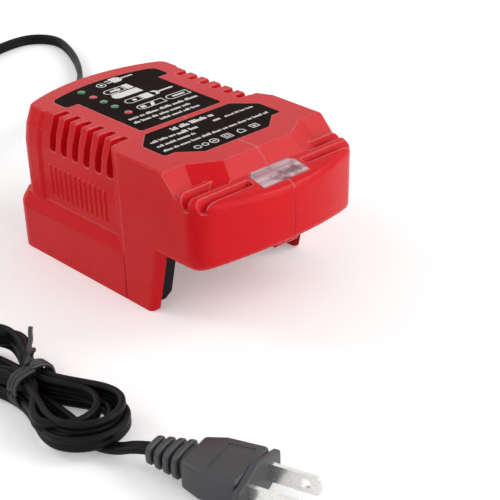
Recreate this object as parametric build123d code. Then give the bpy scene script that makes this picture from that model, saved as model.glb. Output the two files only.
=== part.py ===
"""Slide-on battery charger with its tied mains cord.

Millimetres, +Z up. The charger stands on its two legs at z = 0. The end with the
light window faces -Y, the cord leaves the back at +Y.
"""

import os
from math import atan2, cos, degrees, pi, radians, sin, sqrt, tan

from build123d import *

# ---- housing, outside
case_height = 60.0
case_width = 78.4           # across the top of the front section
case_front = -61.8          # foremost point of the bowed front face
case_back = 62.9            # rearmost point of the lower band
rear_inset = 2.0            # how much narrower the top is behind the vents, each side
rear_width = case_width - 2 * rear_inset
rear_setback = 1.0          # how far the upper section stands in front of the band's back
side_draft = 1.2            # how much narrower the walls are at the foot, each side
front_bow = 95.0            # plan radius of the front face
rear_bow = 78.0             # plan radius of the upper section's back
band_bow = 150.0            # plan radius of the band's back
front_corner = 10.0
rear_corner = 8.0
band_corner = 8.0
nose_edge = 1.2             # rounding along the top sides of the front section
panel_recess = 0.8          # how far the ribbed side panels lie below the rear corners
lean_depths = (14.0, 7.0, 0.0)  # below the top, where the walls behind the front begin to lean
lean_insets = (0.0, 1.1, 3.5)   # how far in they stand there
lean_bend = 6.0             # radius between those stretches
plate_edge = 0.9            # rounding between the leaning walls and the top
panel_start = -4.0          # where the front section ends at the vented sides
panel_step = 6.0            # length of the slanted step there
step_round = 4.0
panel_end = 42.5
panel_flare = 2.0           # length of the step out to the rear section

# ---- housing, lower part
ceiling_height = 26.0       # underside of the floor over the battery
chin_length = 11.8          # from the front face to where the nose's underside begins to rise
chin_start = case_front + chin_length
chin_rise = 4.4             # how much it has risen at the front face
chin_round = 10.0
nose_round = 3.0            # rounding along the lower edge of the front section
leg_front = -32.5           # front edge of the legs, where they meet the nose
leg_rake = 6.0              # how far that edge slopes back towards the foot
leg_corner = 4.5            # rounding of the legs' outer front corner, in plan
leg_toe = 5.0               # rounding at the front of the foot
leg_overlap = 4.0           # how far the legs run up into the front section
ledge_low = 19.4            # the sloped ledge round the lower band
ledge_high = 24.0
ledge_depth = 2.6
ledge_round = 5.0

# ---- walls
wall = 2.4
fit = 0.2                   # clearance of pieces seated in the housing
small_round = 0.8
beyond = 5.0                # how far cutting blocks run past the housing

# ---- front bevel, shelf and grooves
bevel_side_setback = 26.8   # from the front face to the bevel's top edge at the sides
bevel_tongue_setback = 19.6     # and at the middle
bevel_side = case_front + bevel_side_setback
bevel_tongue = case_front + bevel_tongue_setback
tongue_half = 16.5          # half width of the middle stretch
shoulder_half = 28.3        # where the slanted stretches begin
bevel_drop = 5.0            # depth of the bevel, at 45 degrees
shelf_fall = 3.8            # how much the shelf curves down to the front edge
shelf_sag = 1.1             # how much of that it has fallen half way
brow_round = 3.2            # rounding between the shelf and the walls below it
groove_floor = 49.4
groove_setbacks = (22.9, 17.8, 11.6)    # from the front face to the rear wall of each groove
groove_widths = (3.8, 4.6, 4.0)
groove_lean = 2.6           # how far the rear walls slope forward down to the floor
groove_ends = (24.0, 18.5, 12.8)        # how near each comes to the middle
groove_round = 1.2

# ---- vents and ribs on the sides
vent_count = 6
vent_pitch = 7.0
vent_first = 33.4           # middle of the rearmost vent
vent_width = 3.7
vent_depth = 2.6
vent_inner = 27.0           # how near the vents come to the middle on the top
vent_low = 46.3             # lower end of the vents on the sides
vent_round = 1.0
rib_count = 12
rib_pitch = 3.05
rib_first = 36.0
rib_low = 28.0
rib_high = 39.6
rib_radius = 0.85
rib_proud = 0.45

# ---- lens
lens_width = 22.0
lens_setback = 4.4          # from the front face to the lens
lens_depth = 9.5
lens_front = case_front + lens_setback
lens_back = lens_front + lens_depth
lens_flange = 1.5           # rim under the roof that keeps the lens in
lens_chamfer = 2.2
notch_width = 24.0          # shallow notch round the lens
notch_reach = 1.8           # how far it runs on in front of the lens
notch_depth = 1.4

# ---- labels
label_thickness = 0.3
upper_label_half = 19.9
upper_label_front = -1.3
upper_label_neck = 36.9     # where the label widens to its ears
upper_label_ear = 25.6      # half width there
upper_label_crown = 50.8
label_bow = 75.0
label_corner = 1.5
ear_corner = 4.0
label_gap = 3.2
lower_label_half = 20.8
lower_label_wide = 28.6
lower_label_foot = 15.6
label_step = 8.2            # length of the slanted shoulders
lower_label_length = 27.4
lower_label_hip = -24.8     # where the label steps in

# ---- guide rails and terminals
rail_low = 5.0
rail_thickness = 4.8
rail_tongue = 3.0           # how far the tongues reach under the battery's rails
tongue_low = 9.0
tongue_height = 4.0
tongue_start = 9.0          # how far behind the guide's front end its tongue begins
rail_chamfer = 2.5
rail_back = 46.0
rail_setback = 0.9          # how far the guides stand behind the legs' front edge
terminal_size = (44.0, 20.0, 8.0)
terminal_corner = 1.5
terminal_back = 24.0
plug_through = (38.0, 10.0)     # part of the block that passes up through the floor
blade_count = 4
blade_pitch = 10.0
blade_thickness = 0.8
blade_height = 5.0
blade_length = 21.0
blade_drop = 2.0            # from the ceiling down to the blades
blade_chamfer = 1.2
blade_slot = 3.2            # width of the slots in the block round the blades
blade_slot_depth = 5.0
tab_width = 3.0             # solder tab of each blade, up through the board
tab_above = 1.5

# ---- circuit board
board_half = 27.0
board_back = 45.0
board_front_gap = 11.8      # from the front face to the board
board_front = case_front + board_front_gap
board_corner = 3.0
board_thickness = 1.6
post_height = 3.0           # posts between the floor and the board
post_radius = 3.0
post_inset = 4.0
board_screw_radius = 1.1
board_screw_head = 2.2
board_screw_length = 4.6
pan_height = 1.4

# ---- components on the board: size and middle
core_size = (24.0, 20.0, 9.0)
core_leg = 5.0              # width of the centre leg and depth of the cross pieces
core_side = 4.0
core_place = (9.0, -7.0)
winding_height = 17.0
winding_round = 3.0
bulk_radius = 8.0
bulk_gap = 5.6              # from its top up to the roof
bulk_place = (14.5, 24.2)
output_radius = 4.5
output_height = 12.0
output_places = ((-17.0, -26.0), (-6.0, -26.0))
vent_cross = 0.6            # pressed cross on a capacitor's top
choke_size = (14.0, 11.0, 12.0)
choke_place = (-14.0, 33.0)
choke_leg = 3.4
choke_wrap = 0.9            # thickness of the wire wound on its legs
film_size = (15.0, 6.5, 11.0)
film_place = (13.2, 36.0)
fuse_size = (9.0, 4.0, 8.0)
fuse_place = (0.0, 38.0)
bridge_size = (15.0, 3.6, 10.0)
bridge_place = (-2.0, 20.0)
sink_size = (24.0, 2.0, 16.0)
sink_place = (8.0, 7.0)
fin_count = 4
fin_depth = 1.6
fin_thickness = 1.0
package_size = (10.0, 4.4)  # transistor and diode bodies, in plan
package_gap = 4.4           # from their tabs' tops up to the roof
package_stand = 0.3         # share of the height that is bare legs
package_body = 0.45         # share that is the moulded body
package_tab = 1.3
package_leg = (0.9, 0.6)
switch_offset = -5.0        # transistor's place along its heatsink
diode_place = (-15.0, -10.0)
chip_size = (6.4, 9.5, 3.2)
chip_place = (-14.0, 2.5)
chip_leg_count = 4
chip_leg_pitch = 2.4
chip_leg = 0.5
chip_span = 8.4
chip_lift = 0.3

# ---- indicators
indicator_x = -11.8
indicator_places = (45.6, 38.1, 31.5, 24.6, 16.4)
indicator_radius = 1.5
indicator_rim = 1.75
indicator_board_half = 7.25
indicator_board_ends = (9.4, 47.9)
indicator_board_thickness = 1.2
indicator_drop = 5.0        # from the roof down to the indicator board
indicator_post_radius = 1.6
indicator_posts = ((-4.9, 20.6), (4.9, 34.8))
pin_row_pitch = 2.54
pin_row_count = 5
pin_row_y = 11.2
row_pin = 0.64
window_lights = (-4.0, 4.0)     # places of the two lights below the lens
window_light_inset = 1.3    # how far they stand behind the lens
window_light_y = lens_back + window_light_inset
window_light_radius = 2.5
window_light_height = 8.6
light_rim = 0.4

# ---- case screws and pins, all across X
case_screw_inset = 10.9     # in front of the band's back
case_screw_drop = 8.2       # below the top
screw_seat = 12.0           # where the head rests, from the middle
screw_length = 20.0
screw_radius = 1.4
screw_head = 2.7
head_height = 1.6
cross_width = 0.7           # arms of the cross recess in the heads
cross_depth = 0.9
well_radius = 2.9
boss_radius = 3.8
rail_screw_place = (-22.4, 20.8)
rail_screw_length = 5.4
front_pin_inset = 23.4      # behind the foremost point of the front face
front_pin_rise = 0.6        # above the bay's floor
rear_pin_y = 2.0
rear_pin_drop = 2.0         # below the bay's roof
pin_radius = 1.1
pin_length = 3.0
pin_boss = 2.2
pin_boss_length = 5.0

# ---- keeper lug under the nose, across the joint
lug_half = 5.5
lug_setbacks = (4.2, 9.8)   # from the front face to its two ends
lug_low = 26.4
lug_chamfer = 1.2

# ---- cord
exit_height = 33.5
relief_inside = 10.0
relief_neck = 3.6
relief_tip = 2.9
relief_rib_count = 4
relief_rib_proud = 0.7
relief_rib_start = 3.6
relief_rib_pitch = 2.4
relief_rib_width = 1.2
relief_root = 4.5           # radius of the sleeve at the wall
collar_radius = 5.4
collar_thickness = 2.0
keeper_thickness = 1.6      # second collar, inside the back wall
keeper_radius = 4.8
collar_gap = 0.3
cord_radius = 2.1           # round tube of about the flat cord's section
lead_radius = 0.9
lead_pitch = 5.0
lead_inset = 3.0            # from the board's back edge to the leads' pads
lead_rise = 4.6
arc_share = 0.45

# route of the cord from the strain relief to the hank, chosen by hand
cord_points = [
    (0.0, 75.0, 33.5),
    (0.0, 87.0, 33.5),
    (7.0, 105.0, 29.5),
    (22.0, 124.0, 21.5),
    (41.0, 141.0, 13.8),
    (62.0, 157.0, 7.4),
    (81.0, 175.0, 3.4),
    (95.5, 196.0, 2.2),
    (106.0, 217.0, 2.2),
    (112.0, 237.0, 2.2),
    (103.5, 249.5, 2.2),
    (88.0, 250.0, 2.2),
    (69.0, 244.0, 2.2),
    (48.0, 229.0, 2.2),
    (28.0, 204.0, 2.2),
    (6.0, 180.0, 2.2),
    (-15.0, 151.0, 2.2),
    (-31.0, 122.0, 2.2),
    (-53.0, 97.0, 2.2),
    (-76.0, 74.0, 2.2),
    (-93.0, 49.0, 2.2),
    (-103.0, 24.0, 2.4),
    (-104.0, 4.0, 3.4),
    (-104.5, -8.0, 4.0),
]

# the tied hank lies along Y, and the plug's short lead leaves its front end
hank_middle = (-104.0, -42.0)
hank_length = 88.0
hank_loop_width = 30.0
hank_waist_width = 15.0
hank_waist_length = 12.0
hank_waist_round = 4.0
hank_loop_round = 8.0
hank_widest = 0.55          # where the loops are widest, as a share of half the length
hank_end_half = 0.72        # half width of the blunt ends, as a share of the loops' half width
hank_end_trim = 1.0         # how much shorter the corners of the ends are
hank_height = 11.0
hank_edge = 3.4
tie_width = 4.6
tie_wrap = 0.8
tie_round = 1.0
tie_tail = 13.0
tail_radius = 0.9
tail_lean = (0.25, 0.45)
tail_points = [
    (-106.0, -76.0, 4.0),
    (-105.0, -84.0, 5.8),
    (-102.6, -91.2, 7.5),
    (-100.0, -99.2, 7.5),
]
plug_heading = -72.0        # degrees from +X
plug_relief_length = 15.0
plug_relief_root = (9.0, 13.0)      # height and width
plug_relief_tip = (6.0, 8.6)
plug_rib_count = 4
plug_rib_groove = 1.2
plug_rib_start = 2.4
plug_groove_depth = 1.0
plug_shoulder = 0.35        # where the relief has widened to the body, along its length
plug_swell = 0.8            # how much more the body widens towards the flange
plug_body_length = 21.0
plug_body_width = 20.0
plug_height = 11.0
plug_flange = 2.6
plug_flange_width = 26.0
plug_flange_height = 15.0
plug_flange_flat = 0.62     # share of the flange's width that is flat
prong_spacing = 12.7
prong_length = 17.0
prong_thickness = 1.5
prong_width = 6.35
prong_hole = 1.6
prong_hole_inset = 5.0


# ---- drawing helpers
def corner_edges(corners, place):
    """Edges of a closed outline. Each corner is (a, b) or (a, b, radius)."""
    count = len(corners)
    starts, ends, middles = [], [], []
    for index, corner in enumerate(corners):
        here = Vector(corner[0], corner[1])
        before = Vector(*corners[index - 1][:2])
        after = Vector(*corners[(index + 1) % count][:2])
        radius = corner[2] if len(corner) > 2 else 0
        if not radius:
            starts.append(here)
            ends.append(here)
            middles.append(None)
            continue
        back = (before - here).normalized()
        on = (after - here).normalized()
        half = radians(back.get_angle(on)) / 2
        reach = radius / tan(half)
        centre = here + (back + on).normalized() * (radius / sin(half))
        starts.append(here + back * reach)
        ends.append(here + on * reach)
        middles.append(centre + (here - centre).normalized() * radius)
    edges = []
    for index in range(count):
        if middles[index] is not None:
            arc = (starts[index], middles[index], ends[index])
            edges.append(ThreePointArc(*[place(p.X, p.Y) for p in arc]))
        following = (index + 1) % count
        if (starts[following] - ends[index]).length > 1e-6:
            line = (ends[index], starts[following])
            edges.append(Line(*[place(p.X, p.Y) for p in line]))
    return edges


def prism(axis, corners, low, high):
    """Solid with the given outline, from low to high along the axis."""
    places = {
        "X": lambda a, b: (low, a, b),
        "Y": lambda a, b: (a, low, b),
        "Z": lambda a, b: (a, b, low),
    }
    directions = {"X": (1, 0, 0), "Y": (0, 1, 0), "Z": (0, 0, 1)}
    face = make_face(corner_edges(corners, places[axis]))
    return extrude(face, amount=high - low, dir=directions[axis])


def block(low, high):
    """Box between two opposite corners."""
    size = [high[i] - low[i] for i in range(3)]
    centre = [(high[i] + low[i]) / 2 for i in range(3)]
    return Pos(*centre) * Box(*size)


def rod(start, direction, radius, length):
    """Round rod from a point along a direction."""
    plane = Plane(origin=start, z_dir=direction)
    return plane * Cylinder(radius, length, align=(Align.CENTER, Align.CENTER, Align.MIN))


def bowed_block(half, square_end, bowed_end, bow, corner, low, high):
    """Block whose end at bowed_end is an arc in plan with rounded corners."""
    sign = 1 if bowed_end > square_end else -1
    shoulder = bowed_end - sign * (bow - sqrt(bow**2 - half**2))
    edges = [
        Line((-half, square_end), (half, square_end)),
        Line((half, square_end), (half, shoulder)),
        ThreePointArc((half, shoulder), (0, bowed_end), (-half, shoulder)),
        Line((-half, shoulder), (-half, square_end)),
    ]
    face = make_face(edges)
    ends = [v for v in face.vertices() if abs(v.Y - shoulder) < 0.01]
    face = fillet(ends, corner)
    return extrude(Pos(0, 0, low) * face, amount=high - low)


def offset_line(points, distance):
    """Points of an open line moved sideways, to the right of its heading."""
    moved = []
    for index, point in enumerate(points):
        here = Vector(*point)
        headings = []
        if index > 0:
            headings.append((here - Vector(*points[index - 1])).normalized())
        if index < len(points) - 1:
            headings.append((Vector(*points[index + 1]) - here).normalized())
        sides = [Vector(h.Y, -h.X) for h in headings]
        mean = (sides[0] + sides[-1]).normalized()
        moved.append(here + mean * (distance / mean.dot(sides[0])))
    return [(p.X, p.Y) for p in moved]


# ---- housing
def half_at(width, height):
    """Half of a drafted width, given across the top, at another height."""
    return width / 2 - side_draft * (1 - height / case_height)


def panel_half():
    return rear_width / 2 - panel_recess


def back_face():
    """Rearmost point of the upper section."""
    return case_back - rear_setback


def back_at(height):
    """Rearmost point of the drafted upper section at a height."""
    return back_face() - side_draft * (1 - height / case_height)


def bay_back():
    """Inside of the upper section's back wall."""
    return back_at(0) - wall


def leg_inside():
    """From the middle to the inside of the legs."""
    return half_at(case_width, 0) - wall


def rail_face():
    """From the middle to the guides' inner faces."""
    return leg_inside() - fit - rail_thickness


def lean_heights():
    """Heights at which the walls behind the front section change their lean."""
    return [case_height - depth for depth in lean_depths]


def lean_half(half, step):
    """Half width at one of those heights, from the half width of an upright wall."""
    return half - side_draft * lean_depths[step] / case_height - lean_insets[step]


def leaning_profile(half, top):
    """Outline across the housing: nearly upright sides that lean in at the top."""
    rounds = [lean_bend, lean_bend, plate_edge]
    right = [(half - side_draft, 0)]
    right += [(lean_half(half, i), top - lean_depths[i], rounds[i]) for i in range(3)]
    return right + [(-x, *rest) for x, *rest in reversed(right)]


def bowed_plan(corners, bow, corner, step):
    """Plan with one bowed end: corners run from the bowed end to the square one, +X side."""
    (half, bowed_end), *others = corners
    sign = 1 if bowed_end > others[-1][1] else -1
    shoulder = bowed_end - sign * (bow - sqrt(bow**2 - half**2))
    side = [(half, shoulder), *others]
    edges = [ThreePointArc((half, shoulder), (0, bowed_end), (-half, shoulder))]
    for (ax, ay), (bx, by) in zip(side, side[1:]):
        edges += [Line((ax, ay), (bx, by)), Line((-ax, ay), (-bx, by))]
    end_x, end_y = side[-1]
    face = make_face([*edges, Line((end_x, end_y), (-end_x, end_y))])
    face = fillet([v for v in face.vertices() if abs(v.Y - shoulder) < 0.01], corner)
    turns = [v for v in face.vertices() if abs(v.Y - others[0][1]) < 0.01]
    return fillet(turns, step) if step else face


def drafted(face, high, low):
    """Solid below a plan at one height, a little narrower towards its foot."""
    lean = degrees(atan2(side_draft, case_height))
    return extrude(Pos(0, 0, high) * face, amount=low - high, taper=lean)


def nose_column(low):
    """Front section with its step in to the vented sides, from low to the top."""
    half = case_width / 2
    turn = panel_start - panel_step
    plan = bowed_plan(
        [(half, case_front), (half, turn), (panel_half(), panel_start)], front_bow, front_corner, step_round
    )
    return drafted(plan, case_height, low)


def nose_block():
    """Front section above the battery, with its bevel and shelf and rounded below."""
    nose = nose_column(ceiling_height) - chin_space()
    low = [
        e
        for e in nose.edges()
        if e.bounding_box().max.Z < ceiling_height + chin_rise + 1 and e.center().Y < panel_start - panel_step
    ]
    nose = fillet(low, nose_round)
    nose -= bevel_facets() & shelf_space()
    shelf = case_height - bevel_drop
    brow = []
    for edge in nose.edges():
        middle = edge.center()
        beside = abs(middle.X) > half_at(case_width, shelf) - front_corner
        outside = beside or middle.Y < case_front + front_corner
        if outside and middle.Y < bevel_side - bevel_drop and shelf - shelf_fall - 0.1 < middle.Z < shelf:
            brow.append(edge)
    nose = fillet(brow, brow_round)
    sides = [
        e
        for e in nose.edges()
        if e.center().Z > case_height - 0.01 and abs(e.center().X) > half_at(rear_width, case_height)
    ]
    return fillet(sides, nose_edge)


def leg_block():
    """Solid legs below the front section, raked in front, with rounded corners and toes."""
    high = ceiling_height + leg_overlap
    top = leg_front - leg_rake * leg_overlap / ceiling_height
    toe = leg_front + leg_rake
    behind = panel_start + 1
    legs = nose_column(0)
    raked = prism("X", [(top, high), (toe, 0), (behind, 0), (behind, high)], -case_width, case_width)
    legs &= raked
    upright = [
        e
        for e in legs.edges()
        if abs(e.center().X) > leg_inside() and abs(e.center().Y - (top + toe) / 2) < 0.5
    ]
    legs = fillet(upright, leg_corner)
    rounded = [(top, high), (toe, 0, leg_toe), (behind, 0), (behind, high)]
    return legs & prism("X", rounded, -case_width, case_width)


def chin_space():
    """Space below the rising underside at the front."""
    reach = case_front - beyond
    rise = ceiling_height + chin_rise * (chin_start - reach) / (chin_start - case_front)
    outline = [
        (reach, 0),
        (chin_start + chin_round, 0),
        (chin_start + chin_round, ceiling_height),
        (chin_start, ceiling_height, chin_round),
        (reach, rise),
    ]
    return prism("X", outline, -case_width, case_width)


def band_plan():
    """Plan of the lower band at the foot of its ledge."""
    half = half_at(case_width, ledge_low)
    return bowed_plan([(half, case_back), (half, panel_start - panel_step)], band_bow, band_corner, 0)


def band_block():
    """Lower band with its sloped ledge, from the front section to the back."""
    lean = degrees(atan2(ledge_depth, ledge_high - ledge_low))
    ledge = extrude(Pos(0, 0, ledge_low) * band_plan(), amount=ledge_high - ledge_low, taper=lean)
    band = drafted(band_plan(), ledge_low, 0) + ledge
    turn = panel_start - panel_step
    brim = [
        e for e in band.edges() if abs(e.center().Z - ledge_low) < 0.01 and e.center().Y > turn + 0.01
    ]
    return fillet(brim, ledge_round)


def flare_cut():
    """Slanted space beside the rear section's front end, leaning as the wall does."""
    start = panel_end - panel_flare
    outside = 2 * panel_recess
    corners = [
        (0, start - 1),
        (0, start),
        (outside, start + 2 * panel_flare),
        (outside + 2, start + 2 * panel_flare),
        (outside + 2, start - 1),
    ]
    lean = degrees(atan2(side_draft, case_height))
    high = lean_heights()
    cut = Pos(panel_half(), 0, case_height) * Rot(0, lean, 0) * prism("Z", corners, -case_height, 1)
    for step in (0, 1):
        rise = high[step + 1] - high[step]
        edge = lean_half(panel_half(), step + 1)
        lean = degrees(atan2(lean_half(panel_half(), step) - edge, rise))
        cut += Pos(edge, 0, high[step + 1]) * Rot(0, -lean, 0) * prism("Z", corners, -rise, 1)
    return cut


def rear_block():
    """Upper rear section with rounded corners, whose walls lean in at the top."""
    start = panel_end - panel_flare
    square = start - 2 * lean_insets[-1]
    high = lean_heights()

    def plan(step):
        half = lean_half(rear_width / 2, step)
        shrink = rear_width / 2 - half
        ends = [(half, back_face() - shrink), (half, square)]
        return bowed_plan(ends, rear_bow - shrink, rear_corner - shrink, 0)

    wall_lean = degrees(atan2(side_draft, case_height))
    body = extrude(Pos(0, 0, high[0]) * plan(0), amount=ledge_high - 2 - high[0], taper=wall_lean)
    for step in (0, 1):
        rise = high[step + 1] - high[step]
        lean = degrees(atan2(lean_half(0, step) - lean_half(0, step + 1), rise))
        body += extrude(Pos(0, 0, high[step]) * plan(step), amount=rise, taper=lean)
    body &= block((-case_width, start, 0), (case_width, case_back, case_height))
    behind = [e for e in body.edges() if e.center().Y > start + 0.01]
    creases = [e for e in behind if min(abs(e.bounding_box().size.Z), abs(e.center().Z - high[0])) < 0.01]
    creases = [e for e in creases if high[0] - 0.01 < e.center().Z < high[1] + 0.01]
    body = fillet(creases, lean_bend)
    top = [e for e in body.edges() if e.center().Z > case_height - 0.01 and e.center().Y > start + 0.01]
    flare = flare_cut()
    return fillet(top, plate_edge) - flare - mirror(flare, Plane.YZ)


def panel_block():
    """Vented middle stretch, a little narrower than the rear section."""
    profile = leaning_profile(panel_half(), case_height)
    return prism("Y", profile, panel_start - 1, panel_end)


def bevel_facets():
    """Space in front of the faceted 45 degree bevel."""
    line = [
        (-case_width, bevel_side),
        (-shoulder_half, bevel_side),
        (-tongue_half, bevel_tongue),
        (tongue_half, bevel_tongue),
        (shoulder_half, bevel_side),
        (case_width, bevel_side),
    ]
    ahead = case_front - beyond
    levels = (bevel_drop, -3 * bevel_drop)
    wires = []
    for level in levels:
        edge = offset_line(line, -level)
        corners = edge + [(case_width, ahead), (-case_width, ahead)]
        points = [(x, y, case_height + level) for x, y in corners]
        wires.append(make_face(Polyline(*points, close=True)))
    return loft(Sketch() + wires, ruled=True)


def shelf_space():
    """Everything above the gently curved shelf in front of the bevel."""
    side = -case_width
    ahead = case_front - beyond
    behind = bevel_side + bevel_drop
    shelf = case_height - bevel_drop
    front = shelf - shelf_fall
    above = case_height + bevel_drop
    start = bevel_side - bevel_drop
    middle = (start + case_front) / 2
    curve = ThreePointArc((side, start, shelf), (side, middle, shelf - shelf_sag), (side, case_front, front))
    rest = Polyline(
        (side, case_front, front),
        (side, ahead, front),
        (side, ahead, above),
        (side, behind, above),
        (side, behind, shelf),
        (side, start, shelf),
    )
    return extrude(make_face([curve, *rest.edges()]), amount=2 * case_width, dir=(1, 0, 0))


def groove_cuts():
    """Three straight grooves each side, open at the side walls, with sloping rear walls."""
    shelf = case_height - bevel_drop
    facets = bevel_facets()
    cuts = []
    for setback, width, inner in zip(groove_setbacks, groove_widths, groove_ends):
        start = case_front + setback
        outline = [
            (inner, start, groove_round),
            (case_width, start),
            (case_width, start - width),
            (inner, start - width, groove_round),
        ]
        slope = [
            (start, case_height),
            (start, shelf),
            (start - groove_lean, groove_floor),
            (start - width, groove_floor),
            (start - width, case_height),
        ]
        groove = prism("Z", outline, groove_floor, case_height) & facets & prism("X", slope, 0, case_width)
        cuts += [groove, mirror(groove, Plane.YZ)]
    return cuts


def vent_cuts():
    """Six closed grooves each side that wrap over the top edge."""
    reach = case_width
    shell = leaning_profile(panel_half() - vent_depth, case_height - vent_depth)
    core = prism("Y", shell, panel_start - 2, panel_end + 2)
    cuts = []
    for index in range(vent_count):
        middle = vent_first - index * vent_pitch
        low, high = middle - vent_width / 2, middle + vent_width / 2
        side = prism(
            "X",
            [(low, vent_low, vent_round), (high, vent_low, vent_round), (high, reach), (low, reach)],
            0,
            reach,
        )
        top = prism(
            "Z",
            [(vent_inner, low, vent_round), (reach, low), (reach, high), (vent_inner, high, vent_round)],
            0,
            reach,
        )
        vent = (side & top) - core
        cuts += [vent, mirror(vent, Plane.YZ)]
    return cuts


def fine_ribs():
    """Upright half-round ribs below the vents."""
    lean = degrees(atan2(side_draft, case_height))
    ribs = []
    for index in range(rib_count):
        y = rib_first - index * rib_pitch
        x = panel_half() - side_draft * (1 - rib_low / case_height) + rib_proud - rib_radius
        rib = Pos(x, y, rib_low) * Rot(0, lean, 0) * Cylinder(
            rib_radius, rib_high - rib_low, align=(Align.CENTER, Align.CENTER, Align.MIN)
        )
        tip = Pos(x, y, rib_low) * Rot(0, lean, 0) * Pos(0, 0, rib_high - rib_low) * Sphere(rib_radius)
        root = Pos(x, y, rib_low) * Sphere(rib_radius)
        rib = rib + tip + root
        ribs += [rib, mirror(rib, Plane.YZ)]
    return ribs


def battery_space(inset=0.0):
    """Space between the legs that takes the head of the battery, open at the front."""
    foot = leg_inside() - inset
    neck = foot - ledge_depth
    rear = case_back - wall - inset
    front = case_front - beyond
    turn = panel_start - panel_step - wall
    shrink = wall + inset
    low = bowed_plan([(foot, rear), (foot, turn)], band_bow - shrink, band_corner - shrink, 0)
    shrink += ledge_depth
    high = bowed_plan([(neck, rear - ledge_depth), (neck, turn)], band_bow - shrink, band_corner - shrink, 0)
    lean = degrees(atan2(ledge_depth, ledge_high - ledge_low))
    space = extrude(Pos(0, 0, -1) * low, amount=ledge_low + 1)
    space += extrude(Pos(0, 0, ledge_low) * low, amount=ledge_high - ledge_low, taper=lean)
    space += extrude(Pos(0, 0, ledge_high) * high, amount=ceiling_height - ledge_high)
    return space + block((-foot, front, -1), (foot, turn + ledge_depth, ceiling_height))


def bay_floor():
    return ceiling_height + wall


def bay_roof():
    return case_height - wall


def inner_space():
    """Electronics bay above the floor: under the vents, behind them and in the nose."""
    floor = bay_floor()
    roof = bay_roof()
    side = panel_half() - wall - vent_depth
    brow = vent_inner - wall - vent_depth
    hips = [
        (-side, floor),
        (side, floor),
        (side, vent_low),
        (brow, roof),
        (-brow, roof),
        (-side, vent_low),
    ]
    middle = prism("Y", hips, panel_start - 2, panel_end + 1)
    rear = bowed_block(
        half_at(rear_width, floor) - wall,
        panel_end,
        bay_back(),
        rear_bow - wall,
        rear_corner - wall,
        floor,
        roof - vent_depth,
    )
    half = case_width / 2 - wall - side_draft
    low_roof = groove_floor - wall
    rise = chin_rise * (chin_start - case_front - wall) / (chin_start - case_front)
    slope = [
        (panel_start - 1, floor),
        (panel_start - 1, roof),
        (bevel_side + wall, roof),
        (bevel_side - bevel_drop, low_roof),
        (case_front + wall, low_roof),
        (case_front + wall, floor + rise),
        (chin_start, floor),
    ]
    nose = prism("X", slope, -half, half)
    nose &= bowed_block(
        half, panel_start, case_front + wall, front_bow - wall, front_corner - wall, 0, case_height
    )
    return [middle, rear, nose]


def lower_part(solid, low, high):
    return solid & block((-case_width, case_front, low), (case_width, case_back, high))


def outer_form():
    """Whole outside of the housing before it is hollowed and split."""
    form = nose_block() + leg_block() + band_block()
    form += lower_part(panel_block(), ledge_high - 2, case_height)
    form += lower_part(rear_block(), ledge_high - 2, case_height)
    return form


def lens_outline(half, back, front):
    """Window outline in plan, with slanted corners at the back."""
    return [
        (-half, front),
        (half, front),
        (half, back - lens_chamfer),
        (half - lens_chamfer, back),
        (-half + lens_chamfer, back),
        (-half, back - lens_chamfer),
    ]


def lens_cuts():
    """Shallow notch round the lens, and the window through the roof."""
    notch = prism(
        "Z", lens_outline(notch_width / 2, lens_back + fit, lens_front - notch_reach), 0, case_height
    )
    notch -= shelf_space().moved(Location((0, 0, -notch_depth)))
    notch &= block((-case_width, case_front - beyond, groove_floor), (case_width, 0, case_height))
    window = prism(
        "Z",
        lens_outline(lens_width / 2 + fit, lens_back + fit, lens_front - fit),
        groove_floor - wall - 1,
        case_height,
    )
    return window, notch


def upper_label_block(low, high):
    """Black label with rounded ears and an arched crown."""
    stem = [
        (-upper_label_half, upper_label_front, label_corner),
        (upper_label_half, upper_label_front, label_corner),
        (upper_label_half, upper_label_neck + label_corner),
        (-upper_label_half, upper_label_neck + label_corner),
    ]
    head = bowed_block(
        upper_label_ear, upper_label_neck, upper_label_crown, label_bow, ear_corner, low, high
    )
    ends = [e for e in head.edges().filter_by(Axis.Z) if e.center().Y < upper_label_neck + 0.1]
    return prism("Z", stem, low, high) + fillet(ends, label_corner)


def lower_label_block(low, high):
    """Black label with slanted shoulders and hips."""
    top = upper_label_front - label_gap
    right = [
        (lower_label_half, top, label_corner),
        (lower_label_wide, top - label_step, label_corner),
        (lower_label_wide, lower_label_hip, label_corner),
        (lower_label_foot + label_step, lower_label_hip, label_corner),
        (lower_label_foot, top - lower_label_length, label_corner),
    ]
    left = [(-x, y, r) for x, y, r in reversed(right)]
    return prism("Z", right + left, low, high)


def light_holes(radius, low, high):
    """Round rods at the five indicator places."""
    return [rod((indicator_x, y, low), (0, 0, 1), radius, high - low) for y in indicator_places]


def terminal_plug(inset, low, high):
    """Part of the terminal block that passes through the floor."""
    length, depth = plug_through
    middle = terminal_back - terminal_size[1] / 2
    return block(
        (-length / 2 + inset, middle - depth / 2 + inset, low),
        (length / 2 - inset, middle + depth / 2 - inset, high),
    )


def board_corners():
    """Places of the board's four screws."""
    x = board_half - post_inset
    return [(sx * x, y) for sx in (-1, 1) for y in (board_front + post_inset, board_back - post_inset)]


def board_low():
    return bay_floor() + post_height


def board_top():
    return board_low() + board_thickness


def board_posts():
    """Posts on the floor that carry the board."""
    low = bay_floor() - 1
    return [rod((x, y, low), (0, 0, 1), post_radius, post_height + 1) for x, y in board_corners()]


def board_pilots():
    """Blind holes in the posts for the board's screws."""
    depth = board_screw_length - board_thickness + fit
    low = board_low() - depth
    return [rod((x, y, low), (0, 0, 1), board_screw_radius, depth) for x, y in board_corners()]


def indicator_board_top():
    return bay_roof() - indicator_drop


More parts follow.
